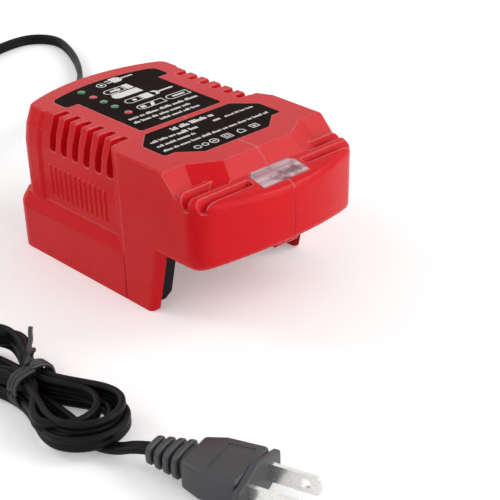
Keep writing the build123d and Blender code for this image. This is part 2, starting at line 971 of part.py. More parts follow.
def indicator_board_posts():
    """Posts hanging from the roof, on which the indicator board seats."""
    low = indicator_board_top()
    length = indicator_drop + 1
    return [
        rod((indicator_x + dx, y, low), (0, 0, 1), indicator_post_radius, length)
        for dx, y in indicator_posts
    ]


def keeper_lug():
    """Lug under the nose that the battery's latch bears on."""
    front, back = (case_front + setback for setback in lug_setbacks)
    lug = block((-lug_half, front, lug_low), (lug_half, back, bay_floor() + 0.5))
    low = lug.edges().filter_by(Axis.X).sort_by(Axis.Z)[:2]
    return chamfer(low, lug_chamfer)


def case_screw_place():
    """Where the case screw crosses the joint."""
    return (case_back - case_screw_inset, case_height - case_screw_drop)


def pin_places():
    """Where the two locating pins cross the joint."""
    front = (case_front + front_pin_inset, bay_floor() + front_pin_rise)
    return [front, (rear_pin_y, bay_roof() - rear_pin_drop)]


def rail_screw_seat():
    """Where a guide's screw head rests, flush with the leg's outside."""
    return half_at(case_width, rail_screw_place[1]) - head_height


def shell_with_joints(form, side):
    """One half of the housing; side is -1 for left and 1 for right."""
    far = case_width
    low_x, high_x = sorted((0, side * far))
    low = (low_x, case_front - beyond, -beyond)
    shell = form & block(low, (high_x, case_back + beyond, case_height + beyond))
    y, z = case_screw_place()
    across = (side, 0, 0)
    boss_length = (rear_width - wall) / 2 if side > 0 else screw_seat
    shell += rod((0, y, z), across, boss_radius, boss_length) & outer_form()
    if side > 0:
        shell -= rod((0, y, z), across, screw_radius + fit, screw_seat)
        shell -= rod((screw_seat, y, z), across, well_radius, far)
        y, z = rail_screw_place
        shell -= rod((rail_screw_seat(), y, z), across, screw_head + fit, far)
        shell -= rod((0, y, z), across, screw_radius + fit, far)
    else:
        shell -= rod((0, y, z), across, screw_radius, screw_length - screw_seat)
    for y, z in pin_places():
        shell += rod((0, y, z), across, pin_boss, pin_boss_length)
    for y, z in pin_places():
        if side > 0:
            shell -= rod((0, y, z), across, pin_radius + fit, pin_length + fit)
        else:
            shell += rod((0, y, z), (1, 0, 0), pin_radius, pin_length)
    return shell


def hollow_form():
    """Housing with every wall, opening and pocket, before the split."""
    window, notch = lens_cuts()
    form = outer_form()
    for rib in fine_ribs():
        form += rib
    form -= [*groove_cuts(), *vent_cuts(), battery_space(), *inner_space()]
    form -= notch
    form -= window
    low = case_height - label_thickness
    form -= [upper_label_block(low, case_height + 1), lower_label_block(low, case_height + 1)]
    form -= light_holes(indicator_rim, bay_roof() - vent_depth - 1, case_height + 1)
    form -= terminal_plug(0, ceiling_height - 1, bay_floor() + 1)
    start = back_face() - 2 * wall
    form -= rod((0, start, exit_height), (0, 1, 0), relief_neck + fit, case_back - start)
    for post in [*board_posts(), *indicator_board_posts()]:
        form += post
    form -= board_pilots()
    form += keeper_lug()
    return form


# ---- pieces fitted to the housing
def front_lens():
    """Clear window with a rim that seats under the roof."""
    low = groove_floor - wall
    body = prism("Z", lens_outline(lens_width / 2, lens_back, lens_front), low, case_height)
    body -= shelf_space()
    rim = prism(
        "Z",
        lens_outline(lens_width / 2 + lens_flange, lens_back + lens_flange, lens_front - lens_flange),
        low - lens_flange,
        low,
    )
    rim &= bowed_block(
        case_width / 2, 0, case_front + wall + fit, front_bow - wall, front_corner - wall, 0, case_height
    )
    return body + rim


def guide_rail(side):
    """Hard insert inside a leg that guides one edge of the battery."""
    face = rail_face()
    front = leg_front + rail_setback
    outline = [
        (front + leg_rake * (1 - rail_low / ceiling_height), rail_low),
        (rail_back, rail_low),
        (rail_back, ceiling_height),
        (front, ceiling_height),
    ]
    rail = prism("X", outline, face, leg_inside()) & battery_space(fit)
    slant = [
        (face - rail_tongue, rail_low - rail_chamfer),
        (face + rail_chamfer, rail_low - rail_chamfer),
        (face + rail_chamfer, rail_low),
        (face, rail_low + rail_chamfer),
        (face - rail_tongue, rail_low + rail_chamfer),
    ]
    rail -= prism("Y", slant, case_front, case_back)
    tip = front + tongue_start
    tongue = [
        (face + rail_chamfer, tip),
        (face - rail_tongue, tip + rail_tongue),
        (face - rail_tongue, rail_back),
        (face + rail_chamfer, rail_back),
    ]
    rail += prism("Z", tongue, tongue_low, tongue_low + tongue_height)
    y, z = rail_screw_place
    if side > 0:
        seat = rail_screw_seat()
        rail -= rod((seat - rail_screw_length, y, z), (1, 0, 0), screw_radius, rail_screw_length)
        return rail
    return mirror(rail, Plane.YZ)


def blade_places():
    return [(i - (blade_count - 1) / 2) * blade_pitch for i in range(blade_count)]


def contact_blades():
    """Flat blades under the ceiling, each with a tab up to the board."""
    high = ceiling_height - blade_drop
    back = terminal_back - terminal_size[1] / 2 + tab_width / 2
    blades = []
    for x in blade_places():
        left, right = x - blade_thickness / 2, x + blade_thickness / 2
        blade = block((left, back - blade_length, high - blade_height), (right, back, high))
        tip = blade.edges().filter_by(Axis.X).sort_by(Axis.Y)[:2]
        blade = chamfer(tip, blade_chamfer)
        blade += block((left, back - tab_width, high - 1), (right, back, board_top() + tab_above))
        blades.append(blade)
    return blades


def terminal_block():
    """Black block under the floor that holds the blades."""
    length, depth, height = terminal_size
    body = block(
        (-length / 2, terminal_back - depth, ceiling_height - height),
        (length / 2, terminal_back, ceiling_height),
    )
    body = fillet(body.edges().filter_by(Axis.Z), terminal_corner)
    body += terminal_plug(fit, ceiling_height - 1, bay_floor())
    front = terminal_back - depth
    slot_low = ceiling_height - blade_drop - blade_height - fit
    for x in blade_places():
        body -= block(
            (x - blade_slot / 2, front - 1, slot_low),
            (x + blade_slot / 2, front + blade_slot_depth, ceiling_height - blade_drop + fit),
        )
    for blade in contact_blades():
        body -= blade
    return body


# ---- electronics
def main_board():
    """Circuit board with holes for its screws, blades and leads."""
    outline = [
        (-board_half, board_front, board_corner),
        (board_half, board_front, board_corner),
        (board_half, board_back, board_corner),
        (-board_half, board_back, board_corner),
    ]
    board = prism("Z", outline, board_low(), board_top())
    for x, y in board_corners():
        board -= rod((x, y, board_low() - 1), (0, 0, 1), board_screw_radius + fit, board_thickness + 2)
    for blade in contact_blades():
        box = blade.bounding_box()
        board -= block(
            (box.min.X - fit, box.max.Y - tab_width - fit, board_low() - 1),
            (box.max.X + fit, box.max.Y + fit, board_top() + 1),
        )
    return board


def pan_screw(x, y, z, length, radius, head):
    """Small pan-head screw driven down, its head resting at z."""
    screw = rod((x, y, z - length), (0, 0, 1), radius, length)
    top = rod((x, y, z), (0, 0, 1), head, pan_height)
    return screw + fillet(top.edges().sort_by(Axis.Z)[-1:], pan_height / 2)


def on_board(size, place, lift=0.0):
    """Box standing on the board, its middle at the given place."""
    x, y = place
    length, depth, height = size
    low = board_top() + lift
    return block((x - length / 2, y - depth / 2, low), (x + length / 2, y + depth / 2, low + height))


def round_can(place, radius, height):
    """Electrolytic can with a rolled edge and a pressed cross on top."""
    x, y = place
    top = board_top() + height
    can = rod((x, y, board_top()), (0, 0, 1), radius, height)
    can = fillet(can.edges().filter_by(GeomType.CIRCLE), radius * 0.1)
    arm = radius * 0.7
    can -= block((x - arm, y - vent_cross / 2, top - 0.4), (x + arm, y + vent_cross / 2, top + 1))
    can -= block((x - vent_cross / 2, y - arm, top - 0.4), (x + vent_cross / 2, y + arm, top + 1))
    return can


def transformer_core():
    """Two-window ferrite core whose centre leg runs along Y."""
    length, depth, height = core_size
    x, y = core_place
    low = board_top() + (winding_height - height) / 2
    core = block((x - length / 2, y - depth / 2, low), (x + length / 2, y + depth / 2, low + height))
    for side in (-1, 1):
        inner = core_leg / 2
        outer = length / 2 - core_side
        ends = sorted((x + side * inner, x + side * outer))
        reach = depth / 2 - core_side
        core -= block((ends[0], y - reach, low - 1), (ends[1], y + reach, low + height + 1))
    return core


def transformer_winding():
    """Wound bobbin round the centre leg, standing on the board."""
    length, depth, height = core_size
    x, y = core_place
    half = length / 2 - core_side - fit
    reach = depth / 2 - core_side - fit
    wound = on_board((2 * half, 2 * reach, winding_height), core_place)
    top = [e for e in wound.edges().filter_by(Axis.Y) if e.center().Z > board_top() + winding_height / 2]
    wound = fillet(top, winding_round)
    low = board_top() + (winding_height - height) / 2
    gap = core_leg / 2 + fit
    return wound - block((x - gap, y - reach - 1, low - fit), (x + gap, y + reach + 1, low + height + fit))


def line_choke():
    """Filter choke: a square core with a window, wound on both legs."""
    length, depth, height = choke_size
    x, y = choke_place
    core = on_board(choke_size, choke_place)
    window = (length - 2 * choke_leg, depth + 2, height - 2 * choke_leg)
    core -= on_board(window, choke_place, choke_leg)
    wound = (choke_leg + 2 * choke_wrap, depth + 2 * choke_wrap, window[2])
    for side in (-1, 1):
        place = (x + side * (length - choke_leg) / 2, y)
        coil = on_board(wound, place, choke_leg)
        core += fillet(coil.edges().filter_by(Axis.Z), small_round)
    return core


def transistor_package(place, facing):
    """Upright three-leg package; its metal tab is on the facing side (+1 or -1 in Y)."""
    length, depth = package_size
    height = bay_roof() - package_gap - board_top()
    stand = height * package_stand
    moulded = height * package_body
    x, y = place
    body = on_board((length, depth, moulded), place, stand)
    body = chamfer(body.edges().filter_by(Axis.X).sort_by(Axis.Z)[-2:], small_round)
    tab_y = y + facing * (depth - package_tab) / 2
    body += on_board((length, package_tab, height - stand - moulded / 2), (x, tab_y), stand + moulded / 2)
    for index in range(3):
        leg_x = x + (index - 1) * pin_row_pitch
        body += on_board((*package_leg, stand + small_round), (leg_x, y))
    return body


def switch_heatsink():
    """Aluminium plate with short fins on its front face."""
    x, y = sink_place
    length, thickness, height = sink_size
    sink = on_board(sink_size, sink_place)
    for index in range(fin_count):
        z = (index + 1) * height / (fin_count + 1)
        fin_y = y - (thickness + fin_depth) / 2
        sink += on_board((length, fin_depth, fin_thickness), (x, fin_y), z)
    return sink


def control_chip():
    """Surface chip with four legs each side."""
    x, y = chip_place
    length, depth, height = chip_size
    chip = on_board((length, depth, height - chip_lift), chip_place, chip_lift)
    chip = chamfer(chip.edges().group_by(Axis.Z)[-1], chip_lift)
    for index in range(chip_leg_count):
        leg_y = y + (index - (chip_leg_count - 1) / 2) * chip_leg_pitch
        chip += on_board((chip_span, chip_leg, chip_leg), (x, leg_y))
    return chip


def indicator_board():
    """Small board under the roof that carries the five lights."""
    front, back = indicator_board_ends
    half = indicator_board_half
    top = indicator_board_top()
    outline = [
        (indicator_x - half, front, 1.0),
        (indicator_x + half, front, 1.0),
        (indicator_x + half, back, 1.0),
        (indicator_x - half, back, 1.0),
    ]
    board = prism("Z", outline, top - indicator_board_thickness, top)
    for pin in board_pins():
        board -= pin
    return board


def board_pins():
    """Row of pins from the main board up to the indicator board."""
    pins = []
    for index in range(pin_row_count):
        x = indicator_x + (index - (pin_row_count - 1) / 2) * pin_row_pitch
        half = row_pin / 2
        pins.append(
            block(
                (x - half, pin_row_y - half, board_top()),
                (x + half, pin_row_y + half, indicator_board_top() + 0.8),
            )
        )
    return pins


def domed_light(x, y, low, high, radius):
    """Round-topped light standing between two heights."""
    light = rod((x, y, low), (0, 0, 1), radius, high - low)
    light = fillet(light.edges().sort_by(Axis.Z)[-1:], radius * 0.8)
    return light + rod((x, y, low), (0, 0, 1), radius + light_rim, light_rim)


def indicator_lights():
    high = case_height - label_thickness - fit
    low = indicator_board_top()
    return [domed_light(indicator_x, y, low, high, indicator_radius) for y in indicator_places]


def window_light_pair():
    low = board_top()
    high = low + window_light_height
    return [domed_light(x, window_light_y, low, high, window_light_radius) for x in window_lights]


# ---- fasteners
def case_screw(start, length):
    """Screw along X, its head outside at the start; cross recess in the head."""
    x, y, z = start
    shaft = rod((x - length, y, z), (1, 0, 0), screw_radius, length)
    head = rod(start, (1, 0, 0), screw_head, head_height)
    head = fillet(head.edges().sort_by(Axis.X)[-1:], head_height * 0.6)
    arm = screw_head * 0.6
    outer = x + head_height
    for dy, dz in ((arm, cross_width / 2), (cross_width / 2, arm)):
        head -= block((outer - cross_depth, y - dy, z - dz), (outer + 1, y + dy, z + dz))
    return shaft + head


def case_screws():
    return [
        case_screw((screw_seat, *case_screw_place()), screw_length),
        case_screw((rail_screw_seat(), *rail_screw_place), rail_screw_length),
    ]


# ---- cord
def lofted(sections):
    """Solid through rounded rectangles: each is (distance along Y, width, height)."""
    faces = []
    for y, width, height in sections:
        plane = Plane(origin=(0, y, 0), x_dir=(1, 0, 0), z_dir=(0, 1, 0))
        faces.append(plane * RectangleRounded(width, height, min(width, height) * 0.3))
    return loft(Sketch() + faces, ruled=True)


def cord_strain_relief():
    """Ribbed sleeve seated in the back wall, with a collar outside."""
    back = back_at(exit_height)
    start = bay_back() - relief_inside
    outside = cord_points[0][1] - back
    shaft = rod((0, start, exit_height), (0, 1, 0), relief_neck, back - start + collar_gap)
    sleeve = Plane(origin=(0, back, exit_height), z_dir=(0, 1, 0)) * Cone(
        relief_root, relief_tip, outside, align=(Align.CENTER, Align.CENTER, Align.MIN)
    )
    relief = shaft + sleeve
    relief += rod((0, back, exit_height), (0, 1, 0), collar_radius, collar_thickness)
    keeper = bay_back() - collar_gap - keeper_thickness
    relief += rod((0, keeper, exit_height), (0, 1, 0), keeper_radius, keeper_thickness)
    for index in range(relief_rib_count):
        reach = relief_rib_start + index * relief_rib_pitch
        taper = relief_root - (relief_root - relief_tip) * reach / outside
        rib = rod((0, back + reach, exit_height), (0, 1, 0), taper + relief_rib_proud, relief_rib_width)
        relief += rib
    return relief


def arc_radii(points):
    """Radius at each corner of a route, as large as its two runs allow."""
    radii = []
    for before, here, after in zip(points, points[1:], points[2:]):
        back = Vector(*here) - Vector(*before)
        on = Vector(*after) - Vector(*here)
        half = radians(back.get_angle(on)) / 2
        radii.append(arc_share * min(back.length, on.length) / tan(half))
    return radii


def tube(points, radius, name):
    """Round tube of straight runs and tangent arcs."""
    radii = arc_radii(points)
    path = FilletPolyline(*points, radius=radii)
    heading = Vector(*points[1]) - Vector(*points[0])
    section = Plane(origin=points[0], z_dir=heading) * Circle(radius)
    solid = sweep(section, path=path)
    expected = pi * radius**2 * path.length
    rounded = [round(r, 1) for r in radii]
    print(name, "radii", rounded, "length", round(path.length, 1))
    print(name, "volume over section times length", round(solid.volume / expected, 4))
    return solid


def mains_leads():
    """Two leads from the cord's inner end down to the board."""
    leads = []
    start = bay_back() - relief_inside
    pad = board_back - lead_inset
    for side in (-1, 1):
        near = side * lead_radius * 1.2
        far = side * lead_pitch / 2
        points = [
            (near, start, exit_height),
            (near, start - 1.8, exit_height),
            ((near + far) / 2, board_back + lead_radius / 2, board_top() + lead_rise),
            (far, pad, board_top() + lead_rise - lead_radius),
            (far, pad, board_top()),
        ]
        leads.append(tube(points, lead_radius, "lead"))
    return leads


def hank_outline(half_length):
    """Plan of the tied hank: two bundles of loops with a waist between them."""
    x, y = hank_middle
    loop = hank_loop_width / 2
    waist = hank_waist_width / 2
    flat = hank_waist_length / 2
    quarter = [
        (waist, flat, hank_waist_round),
        (loop, half_length * hank_widest, hank_loop_round),
        (loop * hank_end_half, half_length - hank_end_trim, hank_loop_round),
    ]
    left_top = [(-a, b, r) for a, b, r in reversed(quarter)]
    left_low = [(-a, -b, r) for a, b, r in quarter]
    right_low = [(a, -b, r) for a, b, r in reversed(quarter)]
    return [(x + a, y + b, r) for a, b, r in quarter + left_top + left_low + right_low]


def cord_hank():
    """Outer shape of the tied hank of cord."""
    solid = prism("Z", hank_outline(hank_length / 2), 0, hank_height)
    top = solid.edges().group_by(Axis.Z)[-1]
    return chamfer(top, hank_edge)


def hank_tie():
    """Wire tie round the waist, with its two twisted ends."""
    x, y = hank_middle
    width = hank_waist_width / 2 + tie_wrap
    outer = [
        (x - width, 0, tie_round),
        (x + width, 0, tie_round),
        (x + width, hank_height - hank_edge + tie_wrap),
        (x + width - hank_edge, hank_height + tie_wrap),
        (x - width + hank_edge, hank_height + tie_wrap),
        (x - width, hank_height - hank_edge + tie_wrap),
    ]
    band = prism("Y", outer, y - tie_width / 2, y + tie_width / 2)
    band -= cord_hank()
    tails = []
    for lean in (-1, 1):
        direction = Vector(tail_lean[0] * lean, tail_lean[1] * lean, 1).normalized()
        start = (x + lean * tail_radius, y, hank_height + tie_wrap / 2)
        tails.append(rod(start, direction, tail_radius, tie_tail))
    for tail in tails:
        band += tail
    return band


def plug_frame():
    """Plane at the plug's cord end; its local Y runs along the plug."""
    angle = radians(plug_heading)
    start = Vector(*tail_points[-1])
    along = Vector(cos(angle), sin(angle), 0)
    return Plane(origin=start, x_dir=Vector(0, 0, 1).cross(along) * -1, z_dir=(0, 0, 1))


def plug_body():
    """Moulded plug: ribbed relief, flat body and flange."""
    relief_end = plug_relief_length
    body_end = relief_end + plug_body_length
    tip_high, tip_wide = plug_relief_tip
    root_high, root_wide = plug_relief_root
    relief = lofted([(0, tip_wide, tip_high), (relief_end, root_wide, root_high)])
    body = lofted(
        [
            (relief_end, root_wide, root_high),
            (relief_end + plug_body_length * plug_shoulder, plug_body_width, plug_height),
            (body_end, plug_body_width + plug_swell, plug_height + plug_swell),
        ]
    )
    half = plug_flange_width / 2
    high = plug_flange_height / 2
    flat = half * plug_flange_flat
    outline = [(half, 0), (flat, high), (-flat, high), (-half, 0), (-flat, -high), (flat, -high)]
    outline = [(a, b, small_round) for a, b in outline]
    flange = prism("Y", outline, body_end, body_end + plug_flange)
    plug = relief + body + flange
    for index in range(plug_rib_count):
        y = plug_rib_start + index * (relief_end - plug_rib_start) / plug_rib_count
        wide = plug_body_width
        groove = block((-wide, y, -plug_height), (wide, y + plug_rib_groove, plug_height))
        share = y / relief_end
        core_wide = (tip_wide + (root_wide - tip_wide) * share) / 2 - plug_groove_depth
        core_high = (tip_high + (root_high - tip_high) * share) / 2 - plug_groove_depth
        groove -= block((-core_wide, 0, -core_high), (core_wide, relief_end, core_high))
        plug -= groove
    return plug_frame() * plug


def plug_blades():
    """Two flat blades with round holes near their ends."""
    start = plug_relief_length + plug_body_length + plug_flange
    blades = []
    for side in (-1, 1):
        x = side * prong_spacing / 2
        blade = block(
            (x - prong_thickness / 2, start, -prong_width / 2),
            (x + prong_thickness / 2, start + prong_length, prong_width / 2),
        )
        corners = [e for e in blade.edges().filter_by(Axis.X) if e.center().Y > start + 1]
        blade = fillet(corners, prong_hole)
        place = (x - prong_thickness, start + prong_length - prong_hole_inset, 0)
        hole = rod(place, (1, 0, 0), prong_hole, 2 * prong_thickness)
        blades.append(plug_frame() * (blade - hole))
    return blades


def group(solids):
    return Compound(children=list(solids))


def write_part(name, shape):
    export_step(shape, f"parts/{name}.step")
    print(name, "valid" if shape.is_valid else "NOT VALID")


if __name__ == "__main__":
    os.makedirs("parts", exist_ok=True)
    whole = hollow_form()
    switch_place = (sink_place[0] + switch_offset, sink_place[1] + (sink_size[1] + package_size[1]) / 2)
    tail = tube(tail_points, cord_radius, "tail")
    cord = tube(cord_points, cord_radius, "cord")
    low = case_height - label_thickness
    fuse = on_board(fuse_size, fuse_place)
    nodes = {
        "left_shell": shell_with_joints(whole, -1),
        "right_shell": shell_with_joints(whole, 1),
        "front_lens": front_lens(),
        "upper_label": upper_label_block(low, case_height),
        "lower_label": lower_label_block(low, case_height),
        "left_guide_rail": guide_rail(-1),
        "right_guide_rail": guide_rail(1),
        "terminal_block": terminal_block(),
        "contact_blades": group(contact_blades()),
        "main_board": main_board(),
        "board_screws": group(
            pan_screw(x, y, board_top(), board_screw_length, board_screw_radius, board_screw_head)
            for x, y in board_corners()
        ),
        "mains_fuse": fillet(fuse.edges().filter_by(Axis.Z), small_round),
        "x_capacitor": fillet(on_board(film_size, film_place).edges().filter_by(Axis.Z), small_round),
        "line_choke": line_choke(),
        "bridge_rectifier": chamfer(
            on_board(bridge_size, bridge_place).edges().filter_by(Axis.Y).sort_by(Axis.X)[-1:], 1.5
        ),
        "bulk_capacitor": round_can(bulk_place, bulk_radius, bay_roof() - bulk_gap - board_top()),
        "switch_transistor": transistor_package(switch_place, -1),
        "switch_heatsink": switch_heatsink(),
        "transformer_core": transformer_core(),
        "transformer_winding": transformer_winding(),
        "output_diode": transistor_package(diode_place, 1),
        "output_capacitors": group(round_can(p, output_radius, output_height) for p in output_places),
        "control_chip": control_chip(),
        "indicator_board": indicator_board(),
        "board_pins": group(board_pins()),
        "indicator_lights": group(indicator_lights()),
        "window_lights": group(window_light_pair()),
        "case_screws": group(case_screws()),
        "cord_strain_relief": cord_strain_relief(),
        "mains_leads": group(mains_leads()),
        "mains_cord": cord,
        "cord_hank": cord_hank(),
        "hank_tie": hank_tie(),
        "plug_tail": tail,
        "plug_body": plug_body(),
        "plug_blades": group(plug_blades()),
    }
    for name, shape in nodes.items():
        write_part(name, shape)
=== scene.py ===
# Slide-on battery charger with its tied mains cord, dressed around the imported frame
import math
import random

import bmesh
import bpy
from mathutils import Matrix, Vector


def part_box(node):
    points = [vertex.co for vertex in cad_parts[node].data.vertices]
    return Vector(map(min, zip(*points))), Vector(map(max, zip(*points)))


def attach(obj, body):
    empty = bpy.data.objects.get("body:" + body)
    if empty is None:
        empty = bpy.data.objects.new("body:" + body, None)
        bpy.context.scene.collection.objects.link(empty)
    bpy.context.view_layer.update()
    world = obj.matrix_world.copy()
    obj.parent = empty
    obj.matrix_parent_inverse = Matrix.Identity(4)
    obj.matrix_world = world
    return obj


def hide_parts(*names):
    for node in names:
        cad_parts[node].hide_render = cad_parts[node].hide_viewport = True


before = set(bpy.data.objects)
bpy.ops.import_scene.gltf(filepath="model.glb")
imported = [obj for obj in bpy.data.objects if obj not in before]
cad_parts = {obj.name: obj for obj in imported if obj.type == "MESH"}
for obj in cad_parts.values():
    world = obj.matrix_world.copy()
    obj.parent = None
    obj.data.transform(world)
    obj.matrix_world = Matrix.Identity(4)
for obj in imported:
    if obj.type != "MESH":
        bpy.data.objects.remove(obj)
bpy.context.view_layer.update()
mm = 0.001
print("frame loaded:", len(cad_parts), "nodes")


# camera
cameraSet = {
    "place": (-331.3, -401.3, 273.2),  # millimetres
    "azimuth": -42.28,
    "elevation": 27.54,
    "roll": -1.5,
    "lens": 107.25,
    "sensor": 36.0,
    "clip": (0.01, 20.0),  # metres
}


def makeCamera(s):
    data = bpy.data.cameras.new("camera")
    data.lens = s["lens"]
    data.sensor_width = s["sensor"]
    data.clip_start, data.clip_end = s["clip"]
    camera = bpy.data.objects.new("camera", data)
    a = math.radians(s["azimuth"])
    e = math.radians(s["elevation"])
    back = Vector((math.sin(a) * math.cos(e), -math.cos(a) * math.cos(e), math.sin(e)))
    turn = (-back).to_track_quat("-Z", "Y").to_matrix().to_4x4()
    roll = Matrix.Rotation(math.radians(s["roll"]), 4, "Z")
    camera.matrix_world = Matrix.Translation(Vector(s["place"]) * mm) @ turn @ roll
    bpy.context.collection.objects.link(camera)
    bpy.context.scene.camera = camera


makeCamera(cameraSet)


# helpers for pieces
def linkPiece(name, mesh, body="root"):
    piece = bpy.data.objects.new(name, mesh)
    bpy.context.collection.objects.link(piece)
    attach(piece, body)
    return piece


def bmeshPiece(name, bm, smooth=True):
    bmesh.ops.remove_doubles(bm, verts=bm.verts, dist=1e-7)
    bmesh.ops.recalc_face_normals(bm, faces=bm.faces)
    mesh = bpy.data.meshes.new(name)
    bm.to_mesh(mesh)
    bm.free()
    for face in mesh.polygons:
        face.use_smooth = smooth
    return linkPiece(name, mesh)


def splineCurve(name, points, tilts=None):
    # smooth NURBS line along the route's control points, in millimetres
    data = bpy.data.curves.new(name, "CURVE")
    data.dimensions = "3D"
    data.twist_mode = "Z_UP"
    data.resolution_u = 12
    spline = data.splines.new("NURBS")
    spline.points.add(len(points) - 1)
    for index, point in enumerate(points):
        spline.points[index].co = (*(Vector(point) * mm), 1)
        if tilts:
            spline.points[index].tilt = math.radians(tilts[index])
    spline.use_cyclic_u = False
    spline.order_u = 3
    spline.use_endpoint_u = True
    curve = bpy.data.objects.new(name, data)
    bpy.context.collection.objects.link(curve)
    return curve


def curveToMesh(curve):
    bpy.context.view_layer.update()
    graph = bpy.context.evaluated_depsgraph_get()
    return bpy.data.meshes.new_from_object(curve.evaluated_get(graph))


def linePoints(curve):
    # points along the bare line, before it gets any thickness
    mesh = curveToMesh(curve)
    points = [v.co.copy() for v in mesh.vertices]
    bpy.data.meshes.remove(mesh)
    return points


def dropCurve(curve):
    data = curve.data
    bpy.data.objects.remove(curve)
    bpy.data.curves.remove(data)


# the cord: one flat twin lead from the strain relief through the hank to the plug
cordSet = {
    "width": 5.5,
    "thickness": 2.8,
    "groove": 0.6,
    "web": 0.3,  # half width of the flat strip between the two strands
    "arcSteps": 8,
    "length": 1.40,  # metres
    "highlightOnEdge": 90.0,
    "lowest": 3.1,  # height of the cord's middle where it stands on its edge
}
routeOut = [
    (0.0, 75.0, 33.5),
    (0.0, 87.0, 33.5),
    (7.0, 105.0, 29.5),
    (22.0, 124.0, 21.5),
    (41.0, 141.0, 13.8),
    (62.0, 157.0, 7.6),
    (81.0, 175.0, 3.8),
    (95.5, 196.0, 2.9),
    (106.0, 217.0, 2.9),
    (112.0, 237.0, 2.9),
    (103.5, 249.5, 2.9),
    (88.0, 250.0, 2.9),
    (69.0, 244.0, 2.9),
    (48.0, 229.0, 2.9),
    (28.0, 204.0, 2.9),
    (6.0, 180.0, 2.9),
    (-15.0, 151.0, 2.9),
    (-31.0, 122.0, 2.9),
    (-53.0, 97.0, 3.0),
    (-76.0, 74.0, 2.8),
    (-93.0, 49.0, 2.3),
    (-103.0, 24.0, 1.8),
]
tiltsOut = [0, 0, 10, 40, 70, 88] + [90] * 12 + [75, 45, 15, 0]
routeIn = [(-104.2, 8.0, 1.8), (-103.2, -5.0, 2.2), (-100.6, -19.0, 2.9)]
tiltsIn = [0, 10, 55]
routeToPlug = [
    (-104.0, -45.0, 3.0),
    (-104.6, -58.0, 2.9),
    (-105.6, -70.0, 2.3),
    (-105.8, -80.0, 1.9),
    (-104.0, -88.0, 3.6),
    (-102.0, -94.0, 6.6),
    (-100.0, -99.2, 7.5),
]
tiltsToPlug = [90, 60, 15, 0, 0, 0, 0]
hankSet = {
    "middle": (-104.0, -42.0),
    "rise": 5.5,  # from the lower strands to the upper ones
    "straight": 4.2,  # half the stretch that runs straight through the tie
    "neck": 0.42,  # where a loop opens out, as a share of its straight length
    "opening": 0.3,  # how far it has opened there
    "neckLift": 0.2,  # how far it has risen there
    "sideLift": 0.7,  # and on its sides
    # each turn: place at the tie and level there,
    # then radius, reach, sideways shift and height of its two loops
    "turns": [
        {"slot": 5.8, "level": 0, "front": (13.5, 42.0, 0.2, 3.0), "rear": (13.6, 42.5, 0.0, 3.0)},
        {"slot": 2.95, "level": 0, "front": (11.4, 36.0, -1.2, 2.6), "rear": (11.0, 37.0, 0.6, 3.2)},
        {"slot": 4.4, "level": 1, "front": (12.2, 38.5, 1.8, 0.4), "rear": (12.6, 39.0, -1.6, 1.4)},
        {"slot": 1.5, "level": 1, "front": (11.0, 31.5, -2.4, -0.8), "rear": (11.0, 32.5, 1.8, 0.2)},
    ],
    # the last half loop comes down: share of its radius, distance short of its far end, height
    "descent": [(0.95, 4.0, 8.0), (1.0, 15.0, 6.4)],
    "leaving": (4.5, 12.0, 4.0),  # last point before the run to the plug
}


def loopSide(loop, side, end, slot, level):
    # half of one loop, from the tie to just before its far end
    radius, reach, shift, lift = loop
    centre = reach - radius
    corner = radius / math.cos(math.pi / 8)
    points = [(side * slot, end * hankSet["straight"], level)]
    neck = side * (slot + (radius - slot) * hankSet["opening"]) + shift * hankSet["opening"]
    points.append((neck, end * centre * hankSet["neck"], level + lift * hankSet["neckLift"]))
    for step, share in enumerate((hankSet["sideLift"], 1.0)):
        angle = step * math.pi / 4
        x = shift + side * corner * math.cos(angle)
        points.append((x, end * (centre + corner * math.sin(angle)), level + lift * share))
    return points


def loopEnd(loop, end, level):
    radius, reach, shift, lift = loop
    corner = radius / math.cos(math.pi / 8)
    return [(shift, end * (reach - radius + corner), level + lift)]


def hankPoints(s):
    x, y = s["middle"]
    around = []
    for index, turn in enumerate(s["turns"]):
        level = cordSet["lowest"] + turn["level"] * s["rise"]
        slot = turn["slot"]
        around += loopSide(turn["front"], 1, -1, slot, level)
        around += loopEnd(turn["front"], -1, level)
        around += loopSide(turn["front"], -1, -1, slot, level)[::-1]
        around += loopSide(turn["rear"], -1, 1, slot, level)
        around += loopEnd(turn["rear"], 1, level)
        if index + 1 < len(s["turns"]):
            following = s["turns"][index + 1]
            onward = cordSet["lowest"] + following["level"] * s["rise"]
            around += loopSide(following["rear"], 1, 1, following["slot"], onward)[::-1]
    radius, reach, shift = s["turns"][-1]["rear"][:3]
    around += [(shift + radius * share, reach - short, height) for share, short, height in s["descent"]]
    around.append(s["leaving"])
    return [(x + a, y + b, z) for a, b, z in around]


def cordProfile(s):
    # figure-eight section of the twin lead
    data = bpy.data.curves.new("cordSection", "CURVE")
    data.dimensions = "2D"
    radius = s["thickness"] / 2
    offset = s["width"] / 2 - radius
    waist = radius - s["groove"]
    opening = math.acos((offset - s["web"]) / radius)
    corners = []
    for side in (1, -1):
        corners.append((0.0, side * waist))
        for step in range(s["arcSteps"] + 1):
            angle = math.pi - opening - step * 2 * (math.pi - opening) / s["arcSteps"]
            corners.append((side * (offset + radius * math.cos(angle)), side * radius * math.sin(angle)))
    spline = data.splines.new("POLY")
    spline.points.add(len(corners) - 1)
    for index, (a, b) in enumerate(corners):
        spline.points[index].co = (a * mm, b * mm, 0, 1)
    spline.use_cyclic_u = True
    section = bpy.data.objects.new("cordSection", data)
    bpy.context.collection.objects.link(section)
    return section


